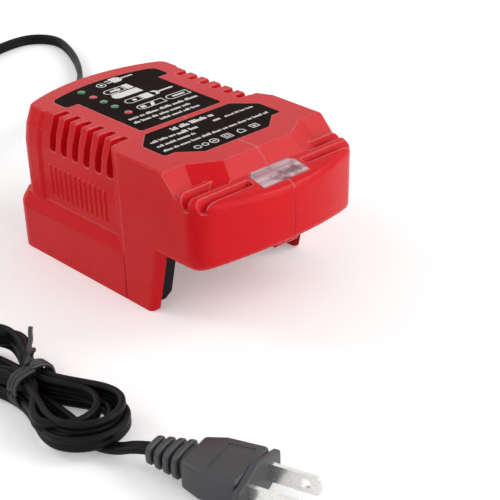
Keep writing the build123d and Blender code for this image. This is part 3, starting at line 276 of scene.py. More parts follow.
def makeCord(s):
    hank = hankPoints(hankSet)
    points = routeOut + routeIn + hank + routeToPlug
    tilts = tiltsOut + tiltsIn + [s["highlightOnEdge"]] * len(hank) + tiltsToPlug
    curve = splineCurve("twinCordLine", points, tilts)
    path = linePoints(curve)
    section = cordProfile(s)
    curve.data.bevel_mode = "OBJECT"
    curve.data.bevel_object = section
    curve.data.use_fill_caps = True
    mesh = curveToMesh(curve)
    mesh.name = "twinCord"
    dropCurve(curve)
    dropCurve(section)
    mesh.polygons.foreach_set("use_smooth", [True] * len(mesh.polygons))
    return linkPiece("twinCord", mesh), path


twinCord, cordPath = makeCord(cordSet)
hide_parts("mains_cord", "cord_hank", "plug_tail")
print("cord made:", len(twinCord.data.polygons), "faces")


# the wire tie round the hank
tieSet = {
    "wire": 0.8,  # radius
    "smoothness": (3, 2),  # steps along the wire and round it
    "wraps": 3,
    "perTurn": 14,
    "squared": 0.7,  # below 1 the wraps come closer to a box
    "halfWidth": 8.3,
    "height": 12.6,
    "pitch": 1.7,
    "lift": 0.9,
    "tails": [(-1, 9.375), (1, 11.875)],  # side and height of each twisted end
    "tailSteps": 18,
    "tailTurns": 2.5,
    "tailRoot": (-1.0, -0.4),  # sideways and up from the top of the wraps
    "splay": 9.0,
    "splaySideways": 0.6,
    "slant": 3.0,
}


def rounded(value, power):
    return math.copysign(abs(value) ** power, value)


def makeTie(s):
    x, y = hankSet["middle"]
    wraps = []
    half = s["height"] / 2
    for step in range(s["wraps"] * s["perTurn"] + 1):
        angle = math.pi / 2 + step * 2 * math.pi / s["perTurn"]
        a = rounded(math.cos(angle), s["squared"]) * s["halfWidth"]
        b = rounded(math.sin(angle), s["squared"]) * half
        along = y + (step / s["perTurn"] - s["wraps"] / 2) * s["pitch"]
        wraps.append((x + a, along, half + s["lift"] + b))
    lines = [wraps]
    aside, sunk = s["tailRoot"]
    for side, height in s["tails"]:
        tail = []
        for step in range(s["tailSteps"] + 1):
            t = step / s["tailSteps"]
            angle = t * s["tailTurns"] * 2 * math.pi + (side < 0) * math.pi
            spread = max(0.0, t - 0.5) * s["splay"] * side
            radius = s["wire"] * (1 - t)
            tailX = x + aside + radius * math.cos(angle) + spread * s["splaySideways"] + t * s["slant"]
            tailY = y + radius * math.sin(angle) + spread
            tail.append((tailX, tailY, s["height"] + s["lift"] + sunk + t * height))
        lines.append(tail)
    bm = bmesh.new()
    for points in lines:
        curve = splineCurve("tieLine", points)
        curve.data.resolution_u, curve.data.bevel_resolution = s["smoothness"]
        curve.data.bevel_depth = s["wire"] * mm
        curve.data.use_fill_caps = True
        mesh = curveToMesh(curve)
        dropCurve(curve)
        bm.from_mesh(mesh)
        bpy.data.meshes.remove(mesh)
    return bmeshPiece("wireTie", bm)


wireTie = makeTie(tieSet)
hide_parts("hank_tie")
print("tie made")


# moulded plug on the cord's far end
plugSet = {
    "start": routeToPlug[-1],
    "heading": -72.0,
    "reliefLength": 15.0,
    "reliefTip": (8.6, 6.6),  # width and height
    "reliefRoot": (14.0, 9.6),
    "corners": 3.6,  # power of the ribs' rounded square
    "ribs": 4,
    "ribStart": 0.6,
    "ribGap": 1.3,
    "ribDepth": (3.2, 2.2),  # from a rib down to the core, here and below in width and height
    "ribBack": (0.7, 0.7),
    "ribFlare": (0.4, 0.2),
    "ribFront": (0.4, 0.5),
    "coreFlare": (0.3, 0.2),
    "ribRound": 0.4,
    "ribStep": 0.05,
    "overlap": 1.0,
    "bodyLength": 21.0,
    "shoulder": 0.34,  # where the body is widest, as a share of its length
    "shoulderSwell": (1.14, 1.06),
    "bodyWidth": (15.0, 21.5),
    "bodyHeight": (10.0, 11.6),
    "bodyEdge": 1.26,
    "bodyTurn": 0.5,  # radians between two faces whose edge gets rounded
    "panelInset": 2.2,
    "panelWall": 0.3,
    "panelSink": 0.45,
    "panelLeast": 100.0,  # square millimetres of a face that gets a panel
    "panelLevel": 0.97,  # and how level it lies
    "flange": 2.6,
    "flangeHalf": (13.0, 7.5),
    "edge": 0.7,
    "sharp": 38.0,
}


def plugMatrix(s):
    angle = math.radians(s["heading"])
    along = Vector((math.cos(angle), math.sin(angle), 0))
    across = Vector((math.sin(angle), -math.cos(angle), 0))
    matrix = Matrix.Identity(4)
    matrix.col[0].xyz = across
    matrix.col[1].xyz = along
    matrix.translation = Vector(s["start"]) * mm
    return matrix


def ringStation(bm, edges, y, width, height, last):
    # carries an open ring on to the next station and gives the new ring
    made = bmesh.ops.extrude_edge_only(bm, edges=edges)["geom"]
    verts = [g for g in made if isinstance(g, bmesh.types.BMVert)]
    bmesh.ops.translate(bm, verts=verts, vec=(0, (y - last[0]) * mm, 0))
    middle = Matrix.Translation((0, -y * mm, 0))
    bmesh.ops.scale(bm, verts=verts, vec=(width / last[1], 1, height / last[2]), space=middle)
    return [g for g in made if isinstance(g, bmesh.types.BMEdge) and all(v in verts for v in g.verts)]


def reliefStations(s):
    # place along the relief, width and height of each ring
    stations = []
    pitch = (s["reliefLength"] - s["overlap"]) / s["ribs"]
    for index in range(s["ribs"]):
        start = s["ribStart"] + index * pitch
        end = start + pitch - s["ribGap"]
        share = (index + 0.5) / s["ribs"]
        rib = Vector(s["reliefTip"]).lerp(Vector(s["reliefRoot"]), share)
        core = rib - Vector(s["ribDepth"])
        stations += [
            (start, *core),
            (start + s["ribStep"], *(rib - Vector(s["ribBack"]))),
            (start + s["ribRound"], *rib),
            (end - s["ribRound"], *(rib + Vector(s["ribFlare"]))),
            (end, *(rib - Vector(s["ribFront"]))),
            (end + s["ribStep"], *(core + Vector(s["coreFlare"]))),
        ]
    stations.append((s["reliefLength"] + s["overlap"], *stations[-1][1:]))
    return stations


def addRelief(bm, s):
    stations = reliefStations(s)
    ring = bmesh.ops.create_circle(bm, cap_ends=True, segments=32, radius=0.5 * mm)["verts"]
    turn = Matrix.Rotation(math.pi / 2, 4, "X")
    bmesh.ops.transform(bm, matrix=turn, verts=ring)
    for v in ring:
        # rounded square instead of a circle
        angle = math.atan2(v.co.z, v.co.x)
        reach = sum(abs(part) ** s["corners"] for part in (math.cos(angle), math.sin(angle)))
        v.co *= reach ** (-1 / s["corners"])
    last = stations[0]
    bmesh.ops.scale(bm, verts=ring, vec=(last[1], 1, last[2]))
    bmesh.ops.translate(bm, verts=ring, vec=(0, last[0] * mm, 0))
    edges = [e for e in bm.edges if all(v in ring for v in e.verts)]
    for station in stations[1:]:
        edges = ringStation(bm, edges, station[0], station[1], station[2], last)
        last = station
    bmesh.ops.edgeloop_fill(bm, edges=edges)


def addPlugBody(bm, s):
    low = s["reliefLength"]
    high = low + s["bodyLength"]
    waist = low + s["bodyLength"] * s["shoulder"]
    for v in bmesh.ops.create_cube(bm, size=1)["verts"]:
        end = v.co.y > 0
        v.co.x *= s["bodyWidth"][end] * mm
        v.co.z *= s["bodyHeight"][end] * mm
        v.co.y = (high if end else low) * mm
    whole = bm.verts[:] + bm.edges[:] + bm.faces[:]
    cut = bmesh.ops.bisect_plane(bm, geom=whole, plane_co=(0, waist * mm, 0), plane_no=(0, 1, 0))
    middle = [g for g in cut["geom_cut"] if isinstance(g, bmesh.types.BMVert)]
    bmesh.ops.scale(bm, verts=middle, vec=(s["shoulderSwell"][0], 1, s["shoulderSwell"][1]))
    bm.normal_update()
    edges = [e for e in bm.edges if e.calc_face_angle(0) > s["bodyTurn"]]
    bmesh.ops.bevel(
        bm, geom=edges, offset=s["bodyEdge"] * mm, affect="EDGES", segments=3, profile=0.5, material=-1
    )
    bm.normal_update()
    level = [f for f in bm.faces if abs(f.normal.z) > s["panelLevel"]]
    for panel in [f for f in level if f.calc_area() > s["panelLeast"] * mm * mm]:
        bmesh.ops.inset_region(bm, faces=[panel], thickness=s["panelInset"] * mm)
        bmesh.ops.inset_region(
            bm, faces=[panel], thickness=s["panelWall"] * mm, depth=-s["panelSink"] * mm
        )


def addFlange(bm, s):
    low = s["reliefLength"] + s["bodyLength"]
    ring = bmesh.ops.create_circle(bm, cap_ends=True, segments=6, radius=1)["verts"]
    bmesh.ops.transform(bm, matrix=Matrix.Rotation(math.pi / 2, 4, "X"), verts=ring)
    size = (s["flangeHalf"][0] / math.cos(math.pi / 6) * mm, 1, s["flangeHalf"][1] * mm)
    bmesh.ops.scale(bm, verts=ring, vec=size)
    bmesh.ops.translate(bm, verts=ring, vec=(0, low * mm, 0))
    made = bmesh.ops.extrude_face_region(bm, geom=bm.faces[:], use_keep_orig=True)["geom"]
    verts = [g for g in made if isinstance(g, bmesh.types.BMVert)]
    bmesh.ops.translate(bm, verts=verts, vec=(0, s["flange"] * mm, 0))
    bmesh.ops.recalc_face_normals(bm, faces=bm.faces)
    bmesh.ops.bevel(
        bm, geom=bm.edges[:], offset=s["edge"] * mm, affect="EDGES", segments=3, profile=0.5, material=-1
    )


def makePlug(s):
    bm = bmesh.new()
    for addPart in (addRelief, addPlugBody, addFlange):
        part = bmesh.new()
        addPart(part, s)
        bmesh.ops.recalc_face_normals(part, faces=part.faces)
        mesh = bpy.data.meshes.new("plugPart")
        part.to_mesh(mesh)
        part.free()
        bm.from_mesh(mesh)
        bpy.data.meshes.remove(mesh)
    bmesh.ops.transform(bm, matrix=plugMatrix(s), verts=bm.verts)
    plug = bmeshPiece("mouldedPlug", bm)
    plug.data.set_sharp_from_angle(angle=math.radians(s["sharp"]))
    return plug


mouldedPlug = makePlug(plugSet)
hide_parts("plug_body")
print("plug made")


# ribbed sleeve where the cord leaves the back wall
sleeveSet = {
    "low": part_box("cord_strain_relief")[0],
    "high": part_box("cord_strain_relief")[1],
    "height": routeOut[0][2],
    "wallFace": 61.4,
    "keeper": (4.8, -4.3, -2.7),  # radius of the disc behind the wall, and its two faces
    "collar": (5.4, 2.0),  # radius and thickness
    "collarRound": (0.3, 0.4, 0.5, 0.6),  # in and along at the wall, then at the free side
    "neck": 3.6,
    "root": 4.7,
    "tip": 3.0,
    "tipRound": (0.35, 0.5),
    "ribs": 6,
    "ribRoom": 0.5,  # plain stretch before the first rib and after the last
    "ribProud": 0.75,
    # each rib: share of its height, extra radius, share of the pitch and extra length
    "ribLine": [(0, 0.0, 0.0, 0.0), (1, 0.0, 0.0, 0.25), (1, -0.1, 0.5, 0.0), (0, -0.15, 0.58, 0.0)],
    "steps": 40,
    "sharp": 45.0,
}


def sleeveLine(s):
    # half section: radius and place along the cord
    face = s["wallFace"]
    end = s["high"].y / mm
    keeper, back, front = s["keeper"]
    collar, thick = s["collar"]
    wallIn, wallOn, freeIn, freeOn = s["collarRound"]
    line = [(0.0, s["low"].y / mm), (s["neck"], s["low"].y / mm)]
    line += [(s["neck"], face + back), (keeper, face + back)]
    line += [(keeper, face + front), (s["neck"], face + front)]
    line += [(s["neck"], face), (collar - wallIn, face), (collar, face + wallOn)]
    line += [(collar, face + thick - freeOn), (collar - freeIn, face + thick), (s["root"], face + thick)]
    pitch = (end - face - thick - 2 * s["ribRoom"]) / s["ribs"]
    for index in range(s["ribs"]):
        y = face + thick + s["ribRoom"] + index * pitch
        radius = s["root"] + (s["tip"] - s["root"]) * (y - face) / (end - face)
        for proud, more, share, further in s["ribLine"]:
            line.append((radius + proud * s["ribProud"] + more, y + share * pitch + further))
    tipIn, tipOn = s["tipRound"]
    return line + [(s["tip"], end - tipOn), (s["tip"] - tipIn, end), (0.0, end)]


def makeSleeve(s):
    line = sleeveLine(s)
    bm = bmesh.new()
    verts = [bm.verts.new((radius * mm, y * mm, s["height"] * mm)) for radius, y in line]
    edges = [bm.edges.new(pair) for pair in zip(verts, verts[1:])]
    bmesh.ops.spin(
        bm,
        geom=verts + edges,
        cent=(0, 0, s["height"] * mm),
        axis=(0, 1, 0),
        angle=2 * math.pi,
        steps=s["steps"],
        use_merge=True,
    )
    sleeve = bmeshPiece("cordSleeve", bm)
    sleeve.data.set_sharp_from_angle(angle=math.radians(s["sharp"]))
    return sleeve


cordSleeve = makeSleeve(sleeveSet)
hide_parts("cord_strain_relief")
print("sleeve made")


# print on the two labels: plain bars and pictograms, in millimetres on the plate
printSet = {
    "thickness": 0.05,
    "sunk": 0.012,
    "line": 0.42,
    "discSides": 24,
    "seed": 7,
    "rows": [
        # left end, right end, middle, height
        (-16.4, 17.4, 10.6, 1.9),
        (-17.0, 10.2, 6.6, 1.9),
        (-7.6, 12.0, 2.6, 1.7),
        (-11.4, 9.8, -8.1, 2.6),
        (5.0, 9.0, -12.7, 2.0),
        (10.6, 25.0, -13.0, 1.4),
        (-24.8, -13.2, -12.4, 1.7),
        (-12.6, -2.4, -12.7, 2.2),
        (-25.4, -7.4, -16.8, 1.7),
        (-26.0, 25.6, -21.2, 1.7),
    ],
    "bars": [
        # left, right, low, high
        (1.2, 3.6, 45.6, 46.3),  # pins of the plug
        (1.2, 3.6, 47.6, 48.3),
        (8.4, 14.6, 46.4, 47.3),  # its lead
        (3.4, 6.4, 35.4, 40.4),  # block beside the half full cell
        (-5.6, -1.6, 34.4, 35.1),  # tab of the full cell
        (1.6, 6.2, 22.4, 27.2),  # block beside the cell with the spanner
        (9.6, 17.2, 24.4, 25.5),  # handle of the spanner
        (-5.2, -3.0, 15.8, 17.8),
        (10.4, 16.4, 16.2, 17.4),
        (-8.2, -6.2, -27.5, -26.9),
        (11.9, 13.3, -27.6, -26.8),
    ],
    "discs": [
        # middle and radius of the filled discs
        (-1.8, 45.9, 0.75),
        (-2.0, 24.8, 1.0),
    ],
    "rings": [
        # middle, radius and sides
        (-1.8, 45.9, 2.1, 24),
        (-15.0, -27.2, 1.5, 24),
        (-11.4, -27.2, 1.5, 6),
        (-7.2, -27.2, 1.9, 24),
    ],
    "cells": [
        # left, right, low, high and corner of the cells' outlines
        (-6.4, 3.0, 35.6, 40.2, 1.6),
        (-6.4, 1.2, 22.6, 27.0, 1.6),
        (-6.8, 6.2, 14.6, 19.0, 1.4),
        (7.6, 18.4, 14.6, 19.0, 1.4),
    ],
    "fullCells": [(-6.6, 6.6, 29.9, 34.5, 1.6)],
    "cellDrop": 0.8,  # height of a cell's corner as a share of its width
    "shapes": [
        [(3.8, 44.4), (7.0, 44.4), (8.6, 45.6), (8.6, 48.2), (7.0, 49.4), (3.8, 49.4)],  # plug
        # arrow
        [(-3.6, 37.2), (-0.6, 37.2), (-0.6, 36.2), (1.6, 37.9), (-0.6, 39.6), (-0.6, 38.6), (-3.6, 38.6)],
        # jaws of the spanner
        [
            (7.2, 22.9), (9.0, 22.9), (10.4, 24.4), (10.4, 25.5),
            (9.0, 27.0), (7.2, 27.0), (8.4, 25.6), (8.4, 24.3),
        ],
        [(-1.6, 14.8), (0.2, 14.8), (2.4, 18.8), (0.6, 18.8)],  # slanted stroke
    ],
    "outlines": [
        [(4.2, -28.9), (7.4, -28.9), (7.4, -26.8), (5.8, -25.3), (4.2, -26.8)],
        [(10.8, -28.7), (14.4, -28.7), (14.4, -25.7), (10.8, -25.7)],
    ],
    "boxes": {"middle": (-0.8, -27.2), "halves": (1.9, 1.0), "line": 0.36},  # one box in another
    # rows of print: widths of the blocks, gaps between blocks and between words, for a row of full height
    "blocks": {"full": 1.9, "wide": (0.42, 0.78), "gap": 0.24, "wordGap": 0.75, "spare": 0.8},
    "blockCounts": (3, 4, 5, 6, 7),
    "blockTops": (0.18, 0.18, 0.5),  # above the middle, as a share of the row's height
}


def flatFace(bm, corners, line=0.0):
    # filled mark, or its outline where a line width is given
    face = bm.faces.new([bm.verts.new((x * mm, y * mm, 0)) for x, y in corners])
    face.normal_update()
    if line:
        bmesh.ops.inset_region(
            bm, faces=[face], thickness=line * mm, use_even_offset=True, use_boundary=True
        )
        bmesh.ops.delete(bm, geom=[face], context="FACES")


def bar(bm, left, right, low, high, line=0.0):
    flatFace(bm, [(left, low), (right, low), (right, high), (left, high)], line)


def disc(bm, x, y, radius, sides, line=0.0):
    angles = [i * 2 * math.pi / sides for i in range(sides)]
    flatFace(bm, [(x + radius * math.cos(a), y + radius * math.sin(a)) for a in angles], line)


def cell(bm, left, right, low, high, cut, drop, line=0.0):
    # box whose left end comes to a blunt point
    corners = [(left + cut, low), (right, low), (right, high), (left + cut, high)]
    flatFace(bm, corners + [(left, high - drop * cut), (left, low + drop * cut)], line)


def wordRow(bm, left, right, middle, height, draw, s):
    # a row of small blocks that stands for a line of print
    blocks = s["blocks"]
    size = height / blocks["full"]
    x = left
    while x < right - blocks["spare"]:
        for _ in range(draw.choice(s["blockCounts"])):
            width = draw.uniform(*blocks["wide"]) * size
            if x + width > right:
                break
            bar(bm, x, x + width, middle - height / 2, middle + height * draw.choice(s["blockTops"]))
            x += width + blocks["gap"]
        x += blocks["wordGap"] * size


def addMarks(bm, s):
    for shape in s["shapes"]:
        flatFace(bm, shape)
    for shape in s["outlines"]:
        flatFace(bm, shape, s["line"])
    for edges in s["bars"]:
        bar(bm, *edges)
    for x, y, radius in s["discs"]:
        disc(bm, x, y, radius, s["discSides"])
    for ring in s["rings"]:
        disc(bm, *ring, s["line"])
    for outline in s["cells"]:
        cell(bm, *outline, s["cellDrop"], s["line"])
    for outline in s["fullCells"]:
        cell(bm, *outline, s["cellDrop"])
    x, y = s["boxes"]["middle"]
    for half in s["boxes"]["halves"]:
        bar(bm, x - half, x + half, y - half, y + half, s["boxes"]["line"])


def makePrint(s):
    draw = random.Random(s["seed"])
    bm = bmesh.new()
    for row in s["rows"]:
        wordRow(bm, *row, draw, s)
    addMarks(bm, s)
    bmesh.ops.recalc_face_normals(bm, faces=bm.faces)
    down = [f for f in bm.faces if f.normal.z < 0]
    bmesh.ops.reverse_faces(bm, faces=down)
    bmesh.ops.solidify(bm, geom=bm.faces[:], thickness=s["thickness"] * mm)
    low = min(v.co.z for v in bm.verts)
    bmesh.ops.translate(bm, verts=bm.verts, vec=(0, 0, labelTop - s["sunk"] * mm - low))
    return bmeshPiece("labelPrint", bm, smooth=False)


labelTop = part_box("upper_label")[1].z
labelPrint = makePrint(printSet)

# indicator lights that show through the upper label
dotSet = {
    "x": -11.8,
    "green": (45.6, 31.5, 24.6),
    "red": (38.1, 16.4),
    "radius": 1.62,
    "segments": (28, 14),
    "dome": 0.3,  # height as a share of the radius
    "sunk": 0.02,
}


def makeDots(name, places, s):
    bm = bmesh.new()
    around, up = s["segments"]
    for y in places:
        others = set(bm.verts)
        ball = bmesh.ops.create_uvsphere(bm, u_segments=around, v_segments=up, radius=s["radius"] * mm)
        dome = ball["verts"]
        bmesh.ops.scale(bm, verts=dome, vec=(1, 1, s["dome"]))
        edges = {e for v in dome for e in v.link_edges}
        faces = {f for v in dome for f in v.link_faces}
        cut = bmesh.ops.bisect_plane(
            bm,
            geom=[*dome, *edges, *faces],
            plane_co=(0, 0, -s["sunk"] * mm),
            plane_no=(0, 0, 1),
            clear_inner=True,
        )
        rim = [g for g in cut["geom_cut"] if isinstance(g, bmesh.types.BMEdge)]
        bmesh.ops.edgeloop_fill(bm, edges=rim)
        kept = [v for v in bm.verts if v not in others]
        bmesh.ops.translate(bm, verts=kept, vec=(s["x"] * mm, y * mm, labelTop))
    return bmeshPiece(name, bm)


greenDots = makeDots("greenDots", dotSet["green"], dotSet)
redDots = makeDots("redDots", dotSet["red"], dotSet)
print("labels dressed")


noiseSpan = (0.3, 0.7)  # most of a noise's values lie between these


# shader groups: they give out colours, masks and heights only
def newGroup(name, inputs, outputs):
    group = bpy.data.node_groups.new(name, "ShaderNodeTree")
    for label, kind, value in inputs:
        socket = group.interface.new_socket(name=label, in_out="INPUT", socket_type=kind)
        socket.default_value = value
    for label, kind in outputs:
        group.interface.new_socket(name=label, in_out="OUTPUT", socket_type=kind)
    return group, group.nodes.new("NodeGroupInput"), group.nodes.new("NodeGroupOutput")


def noiseNode(tree, scale, detail=2.0, rough=0.5):
    node = tree.nodes.new("ShaderNodeTexNoise")
    node.inputs["Scale"].default_value = scale
    node.inputs["Detail"].default_value = detail
    node.inputs["Roughness"].default_value = rough
    return node


def mathNode(tree, operation, a=None, b=None, clamp=False):
    node = tree.nodes.new("ShaderNodeMath")
    node.operation = operation
    node.use_clamp = clamp
    for index, value in enumerate((a, b)):
        if isinstance(value, (int, float)):
            node.inputs[index].default_value = value
        elif value is not None:
            tree.links.new(value, node.inputs[index])
    return node.outputs[0]


def rangeNode(tree, value, low, high, outLow=0.0, outHigh=1.0):
    node = tree.nodes.new("ShaderNodeMapRange")
    tree.links.new(value, node.inputs["Value"])
    for label, part in (("From Min", low), ("From Max", high), ("To Min", outLow), ("To Max", outHigh)):
        if isinstance(part, (int, float)):
            node.inputs[label].default_value = part
        else:
            tree.links.new(part, node.inputs[label])
    return node.outputs["Result"]


def mixColours(tree, factor, a, b):
    node = tree.nodes.new("ShaderNodeMix")
    node.data_type = "RGBA"
    for socket, value in ((node.inputs[0], factor), (node.inputs[6], a), (node.inputs[7], b)):
        if isinstance(value, (int, float, tuple)):
            socket.default_value = value
        else:
            tree.links.new(value, socket)
    return node.outputs[2]


def stretchedCoords(tree, scale):
    coords = tree.nodes.new("ShaderNodeTexCoord")
    mapping = tree.nodes.new("ShaderNodeMapping")
    mapping.inputs["Scale"].default_value = scale
    tree.links.new(coords.outputs["Object"], mapping.inputs["Vector"])
    return mapping.outputs["Vector"]


def makeSkinGroup():
    # moulded surface: faint patches of colour over a fine grain
    group, inside, outside = newGroup(
        "mouldedSkin",
        [
            ("Colour", "NodeSocketColor", (0.5, 0.5, 0.5, 1)),
            ("Shade", "NodeSocketColor", (0.4, 0.4, 0.4, 1)),
            ("Patch Scale", "NodeSocketFloat", 60.0),
            ("Grain Scale", "NodeSocketFloat", 2500.0),
            ("Rough Low", "NodeSocketFloat", 0.35),
            ("Rough High", "NodeSocketFloat", 0.5),
        ],
        [("Colour", "NodeSocketColor"), ("Roughness", "NodeSocketFloat"), ("Height", "NodeSocketFloat")],
    )
    coords = group.nodes.new("ShaderNodeTexCoord")
    patches = noiseNode(group, 60.0, 4.0, 0.6)
    grain = noiseNode(group, 2500.0, 3.0, 0.55)
    for node, label in ((patches, "Patch Scale"), (grain, "Grain Scale")):
        group.links.new(coords.outputs["Object"], node.inputs["Vector"])
        group.links.new(inside.outputs[label], node.inputs["Scale"])
    mask = rangeNode(group, patches.outputs["Fac"], *noiseSpan)
    colour = mixColours(group, mask, inside.outputs["Colour"], inside.outputs["Shade"])
    limits = (inside.outputs["Rough Low"], inside.outputs["Rough High"])
    rough = rangeNode(group, patches.outputs["Fac"], *noiseSpan, *limits)
    group.links.new(colour, outside.inputs["Colour"])
    group.links.new(rough, outside.inputs["Roughness"])
    group.links.new(grain.outputs["Fac"], outside.inputs["Height"])
    return group


scuffSet = {
    "scales": [(30, 900, 400), (700, 40, 500)],  # one for each direction
    "span": (0.7, 0.78),  # only the noise's peaks leave a scratch
}


def makeScuffGroup(s):
    # sparse hairline scratches in two directions
    group, inside, outside = newGroup(
        "hairScuffs",
        [("Amount", "NodeSocketFloat", 0.5)],
        [("Mask", "NodeSocketFloat")],
    )
    masks = []
    for scale in s["scales"]:
        noise = noiseNode(group, 1.0, 1.0)
        group.links.new(stretchedCoords(group, scale), noise.inputs["Vector"])
        masks.append(rangeNode(group, noise.outputs["Fac"], *s["span"]))
    both = mathNode(group, "MAXIMUM", *masks)
    group.links.new(mathNode(group, "MULTIPLY", both, inside.outputs["Amount"]), outside.inputs["Mask"])
    return group


skinGroup = makeSkinGroup()
scuffGroup = makeScuffGroup(scuffSet)


def placeGroup(tree, group, values):
    node = tree.nodes.new("ShaderNodeGroup")
    node.node_tree = group
    for label, value in values.items():
        node.inputs[label].default_value = value
    return node


def emptyMaterial(name):
    material = bpy.data.materials.new(name)
    material.use_nodes = True
    tree = material.node_tree
    return material, tree, tree.nodes["Principled BSDF"]


def setShader(shader, values):
    for label, value in values.items():
        shader.inputs[label].default_value = value


def feedShader(tree, shader, colour, rough):
    tree.links.new(colour, shader.inputs["Base Color"])
    tree.links.new(rough, shader.inputs["Roughness"])


def addBump(tree, shader, height, depth):
    bump = tree.nodes.new("ShaderNodeBump")
    bump.inputs["Strength"].default_value = 1.0
    bump.inputs["Distance"].default_value = depth * mm
    tree.links.new(height, bump.inputs["Height"])
    tree.links.new(bump.outputs["Normal"], shader.inputs["Normal"])


def skinMaterial(name, s):
    # s: colour, shade, patch, grain, rough (low, high), depth, scuffs and the shader's own values
    material, tree, shader = emptyMaterial(name)
    skin = placeGroup(
        tree,
        skinGroup,
        {
            "Colour": (*s["colour"], 1),
            "Shade": (*s["shade"], 1),
            "Patch Scale": s.get("patch", 70.0),
            "Grain Scale": s.get("grain", 2500.0),
            "Rough Low": s["rough"][0],
            "Rough High": s["rough"][1],
        },
    )
    roughness = skin.outputs["Roughness"]
    if s.get("scuffs"):
        scuffs = placeGroup(tree, scuffGroup, {"Amount": s["scuffs"]})
        roughness = mathNode(tree, "ADD", roughness, scuffs.outputs["Mask"], clamp=True)
    feedShader(tree, shader, skin.outputs["Colour"], roughness)
    addBump(tree, shader, skin.outputs["Height"], s.get("depth", 0.02))
    setShader(shader, s.get("shader", {}))
    return material, tree, shader, skin


def paint(piece, material):
    if not piece.material_slots:
        piece.data.materials.append(material)
    for materialSlot in piece.material_slots:
        materialSlot.material = material


# finishes
def srgb(r, g, b):
    # eight-bit screen colour to the shader's linear values
    return tuple(((c / 255 + 0.055) / 1.055) ** 2.4 if c > 10 else c / 255 / 12.92 for c in (r, g, b))


housingFinish = {
    "colour": srgb(214, 22, 30),
    "shade": srgb(206, 20, 27),
    "patch": 45.0,
    "grain": 2600.0,
    "rough": (0.24, 0.3),
    "depth": 0.01,
    "scuffs": 0.05,
    "shader": {"IOR": 1.5, "Specular IOR Level": 0.13},
    "edge": 0.8,  # radius of the moulded edges
    "edgeSamples": 6,
    "paintedEdgeHighlight": srgb(244, 150, 150),  # painted highlight: lighter colour on the edges that face up, standing in for light from above
    "paintedHighlightShare": 0.8,
    "highlightEdgeTurn": (0.99, 0.86),  # cosine of an edge's turn from its face, where the painted highlight starts and is full
    "highlightEdgeRise": (0.1, 0.5),  # how far up it faces there
    "seam": (0.05, 0.2),  # half width of the joint line between the halves, darkest and in all
    "seamDark": srgb(160, 22, 28),
}


def housingMaterial(name, s):
    # moulded red skin with soft edges, the fine joint line on the middle plane and a painted highlight on
    # the edges that face up
    material, tree, shader, skin = skinMaterial(name, s)
    coords = tree.nodes.new("ShaderNodeTexCoord")
    split = tree.nodes.new("ShaderNodeSeparateXYZ")
    tree.links.new(coords.outputs["Object"], split.inputs["Vector"])
    away = mathNode(tree, "ABSOLUTE", split.outputs["X"])
    clear = rangeNode(tree, away, s["seam"][0] * mm, s["seam"][1] * mm)
    colour = mixColours(tree, clear, (*s["seamDark"], 1), skin.outputs["Colour"])
    bump = shader.inputs["Normal"].links[0].from_node
    soft = tree.nodes.new("ShaderNodeBevel")
    soft.samples = s["edgeSamples"]
    soft.inputs["Radius"].default_value = s["edge"] * mm
    tree.links.new(soft.outputs["Normal"], bump.inputs["Normal"])
    geometry = tree.nodes.new("ShaderNodeNewGeometry")
    match = tree.nodes.new("ShaderNodeVectorMath")
    match.operation = "DOT_PRODUCT"
    tree.links.new(soft.outputs["Normal"], match.inputs[0])
    tree.links.new(geometry.outputs["Normal"], match.inputs[1])
    upright = tree.nodes.new("ShaderNodeSeparateXYZ")
    tree.links.new(soft.outputs["Normal"], upright.inputs["Vector"])
    # painted highlight: edges whose bevelled normal faces up are mixed towards a light colour, as if lit
    # from above
    highlightOnEdge = rangeNode(tree, match.outputs["Value"], *s["highlightEdgeTurn"])
    highlightFacingUp = rangeNode(tree, upright.outputs["Z"], *s["highlightEdgeRise"], 0.0, s["paintedHighlightShare"])
    paintedHighlight = mathNode(tree, "MULTIPLY", highlightOnEdge, highlightFacingUp)
    tree.links.new(mixColours(tree, paintedHighlight, colour, (*s["paintedEdgeHighlight"], 1)), shader.inputs["Base Color"])
    return material


housingRed = housingMaterial("housingRed", housingFinish)

labelFinish = {
    "colour": srgb(28, 15, 12),
    "shade": srgb(23, 12, 10),
    "grain": 4000.0,
    "rough": (0.55, 0.65),
    "depth": 0.004,
    "scuffs": 0.05,
    "shader": {"Specular IOR Level": 0.02},
}
labelBlack = skinMaterial("labelBlack", labelFinish)[0]
printFinish = {
    "colour": srgb(236, 234, 232),
    "shade": srgb(224, 222, 220),
    "patch": 900.0,
    "grain": 5000.0,
    "rough": (0.5, 0.6),
    "depth": 0.003,
}
paint(labelPrint, skinMaterial("printWhite", printFinish)[0])


lightFinish = {
    "patch": 700.0,
    "grain": 3000.0,
    "rough": (0.2, 0.3),
    "depth": 0.004,
    "shader": {"Coat Weight": 0.5, "Coat Roughness": 0.1, "Subsurface Weight": 0.1},
}


def lightMaterial(name, colour, shade):
    return skinMaterial(name, {"colour": colour, "shade": shade, **lightFinish})[0]


paint(greenDots, lightMaterial("dotGreen", srgb(24, 128, 72), srgb(16, 108, 58)))
paint(redDots, lightMaterial("dotRed", srgb(205, 30, 48), srgb(180, 20, 36)))


windowFinish = {
    "clear": srgb(228, 200, 206),
    "milky": srgb(194, 142, 152),
    "shadow": srgb(136, 80, 90),
    "streak": (30, 520, 60),
    "streakSpan": (0.4, 0.6),
    "cloud": (160, 160, 160),
    "cloudSpan": (0.5, 0.68),
    "rough": (0.12, 0.3),
    "wave": 0.25,
    "shader": {"Transmission Weight": 0.25, "IOR": 1.46, "Specular IOR Level": 0.6},
}


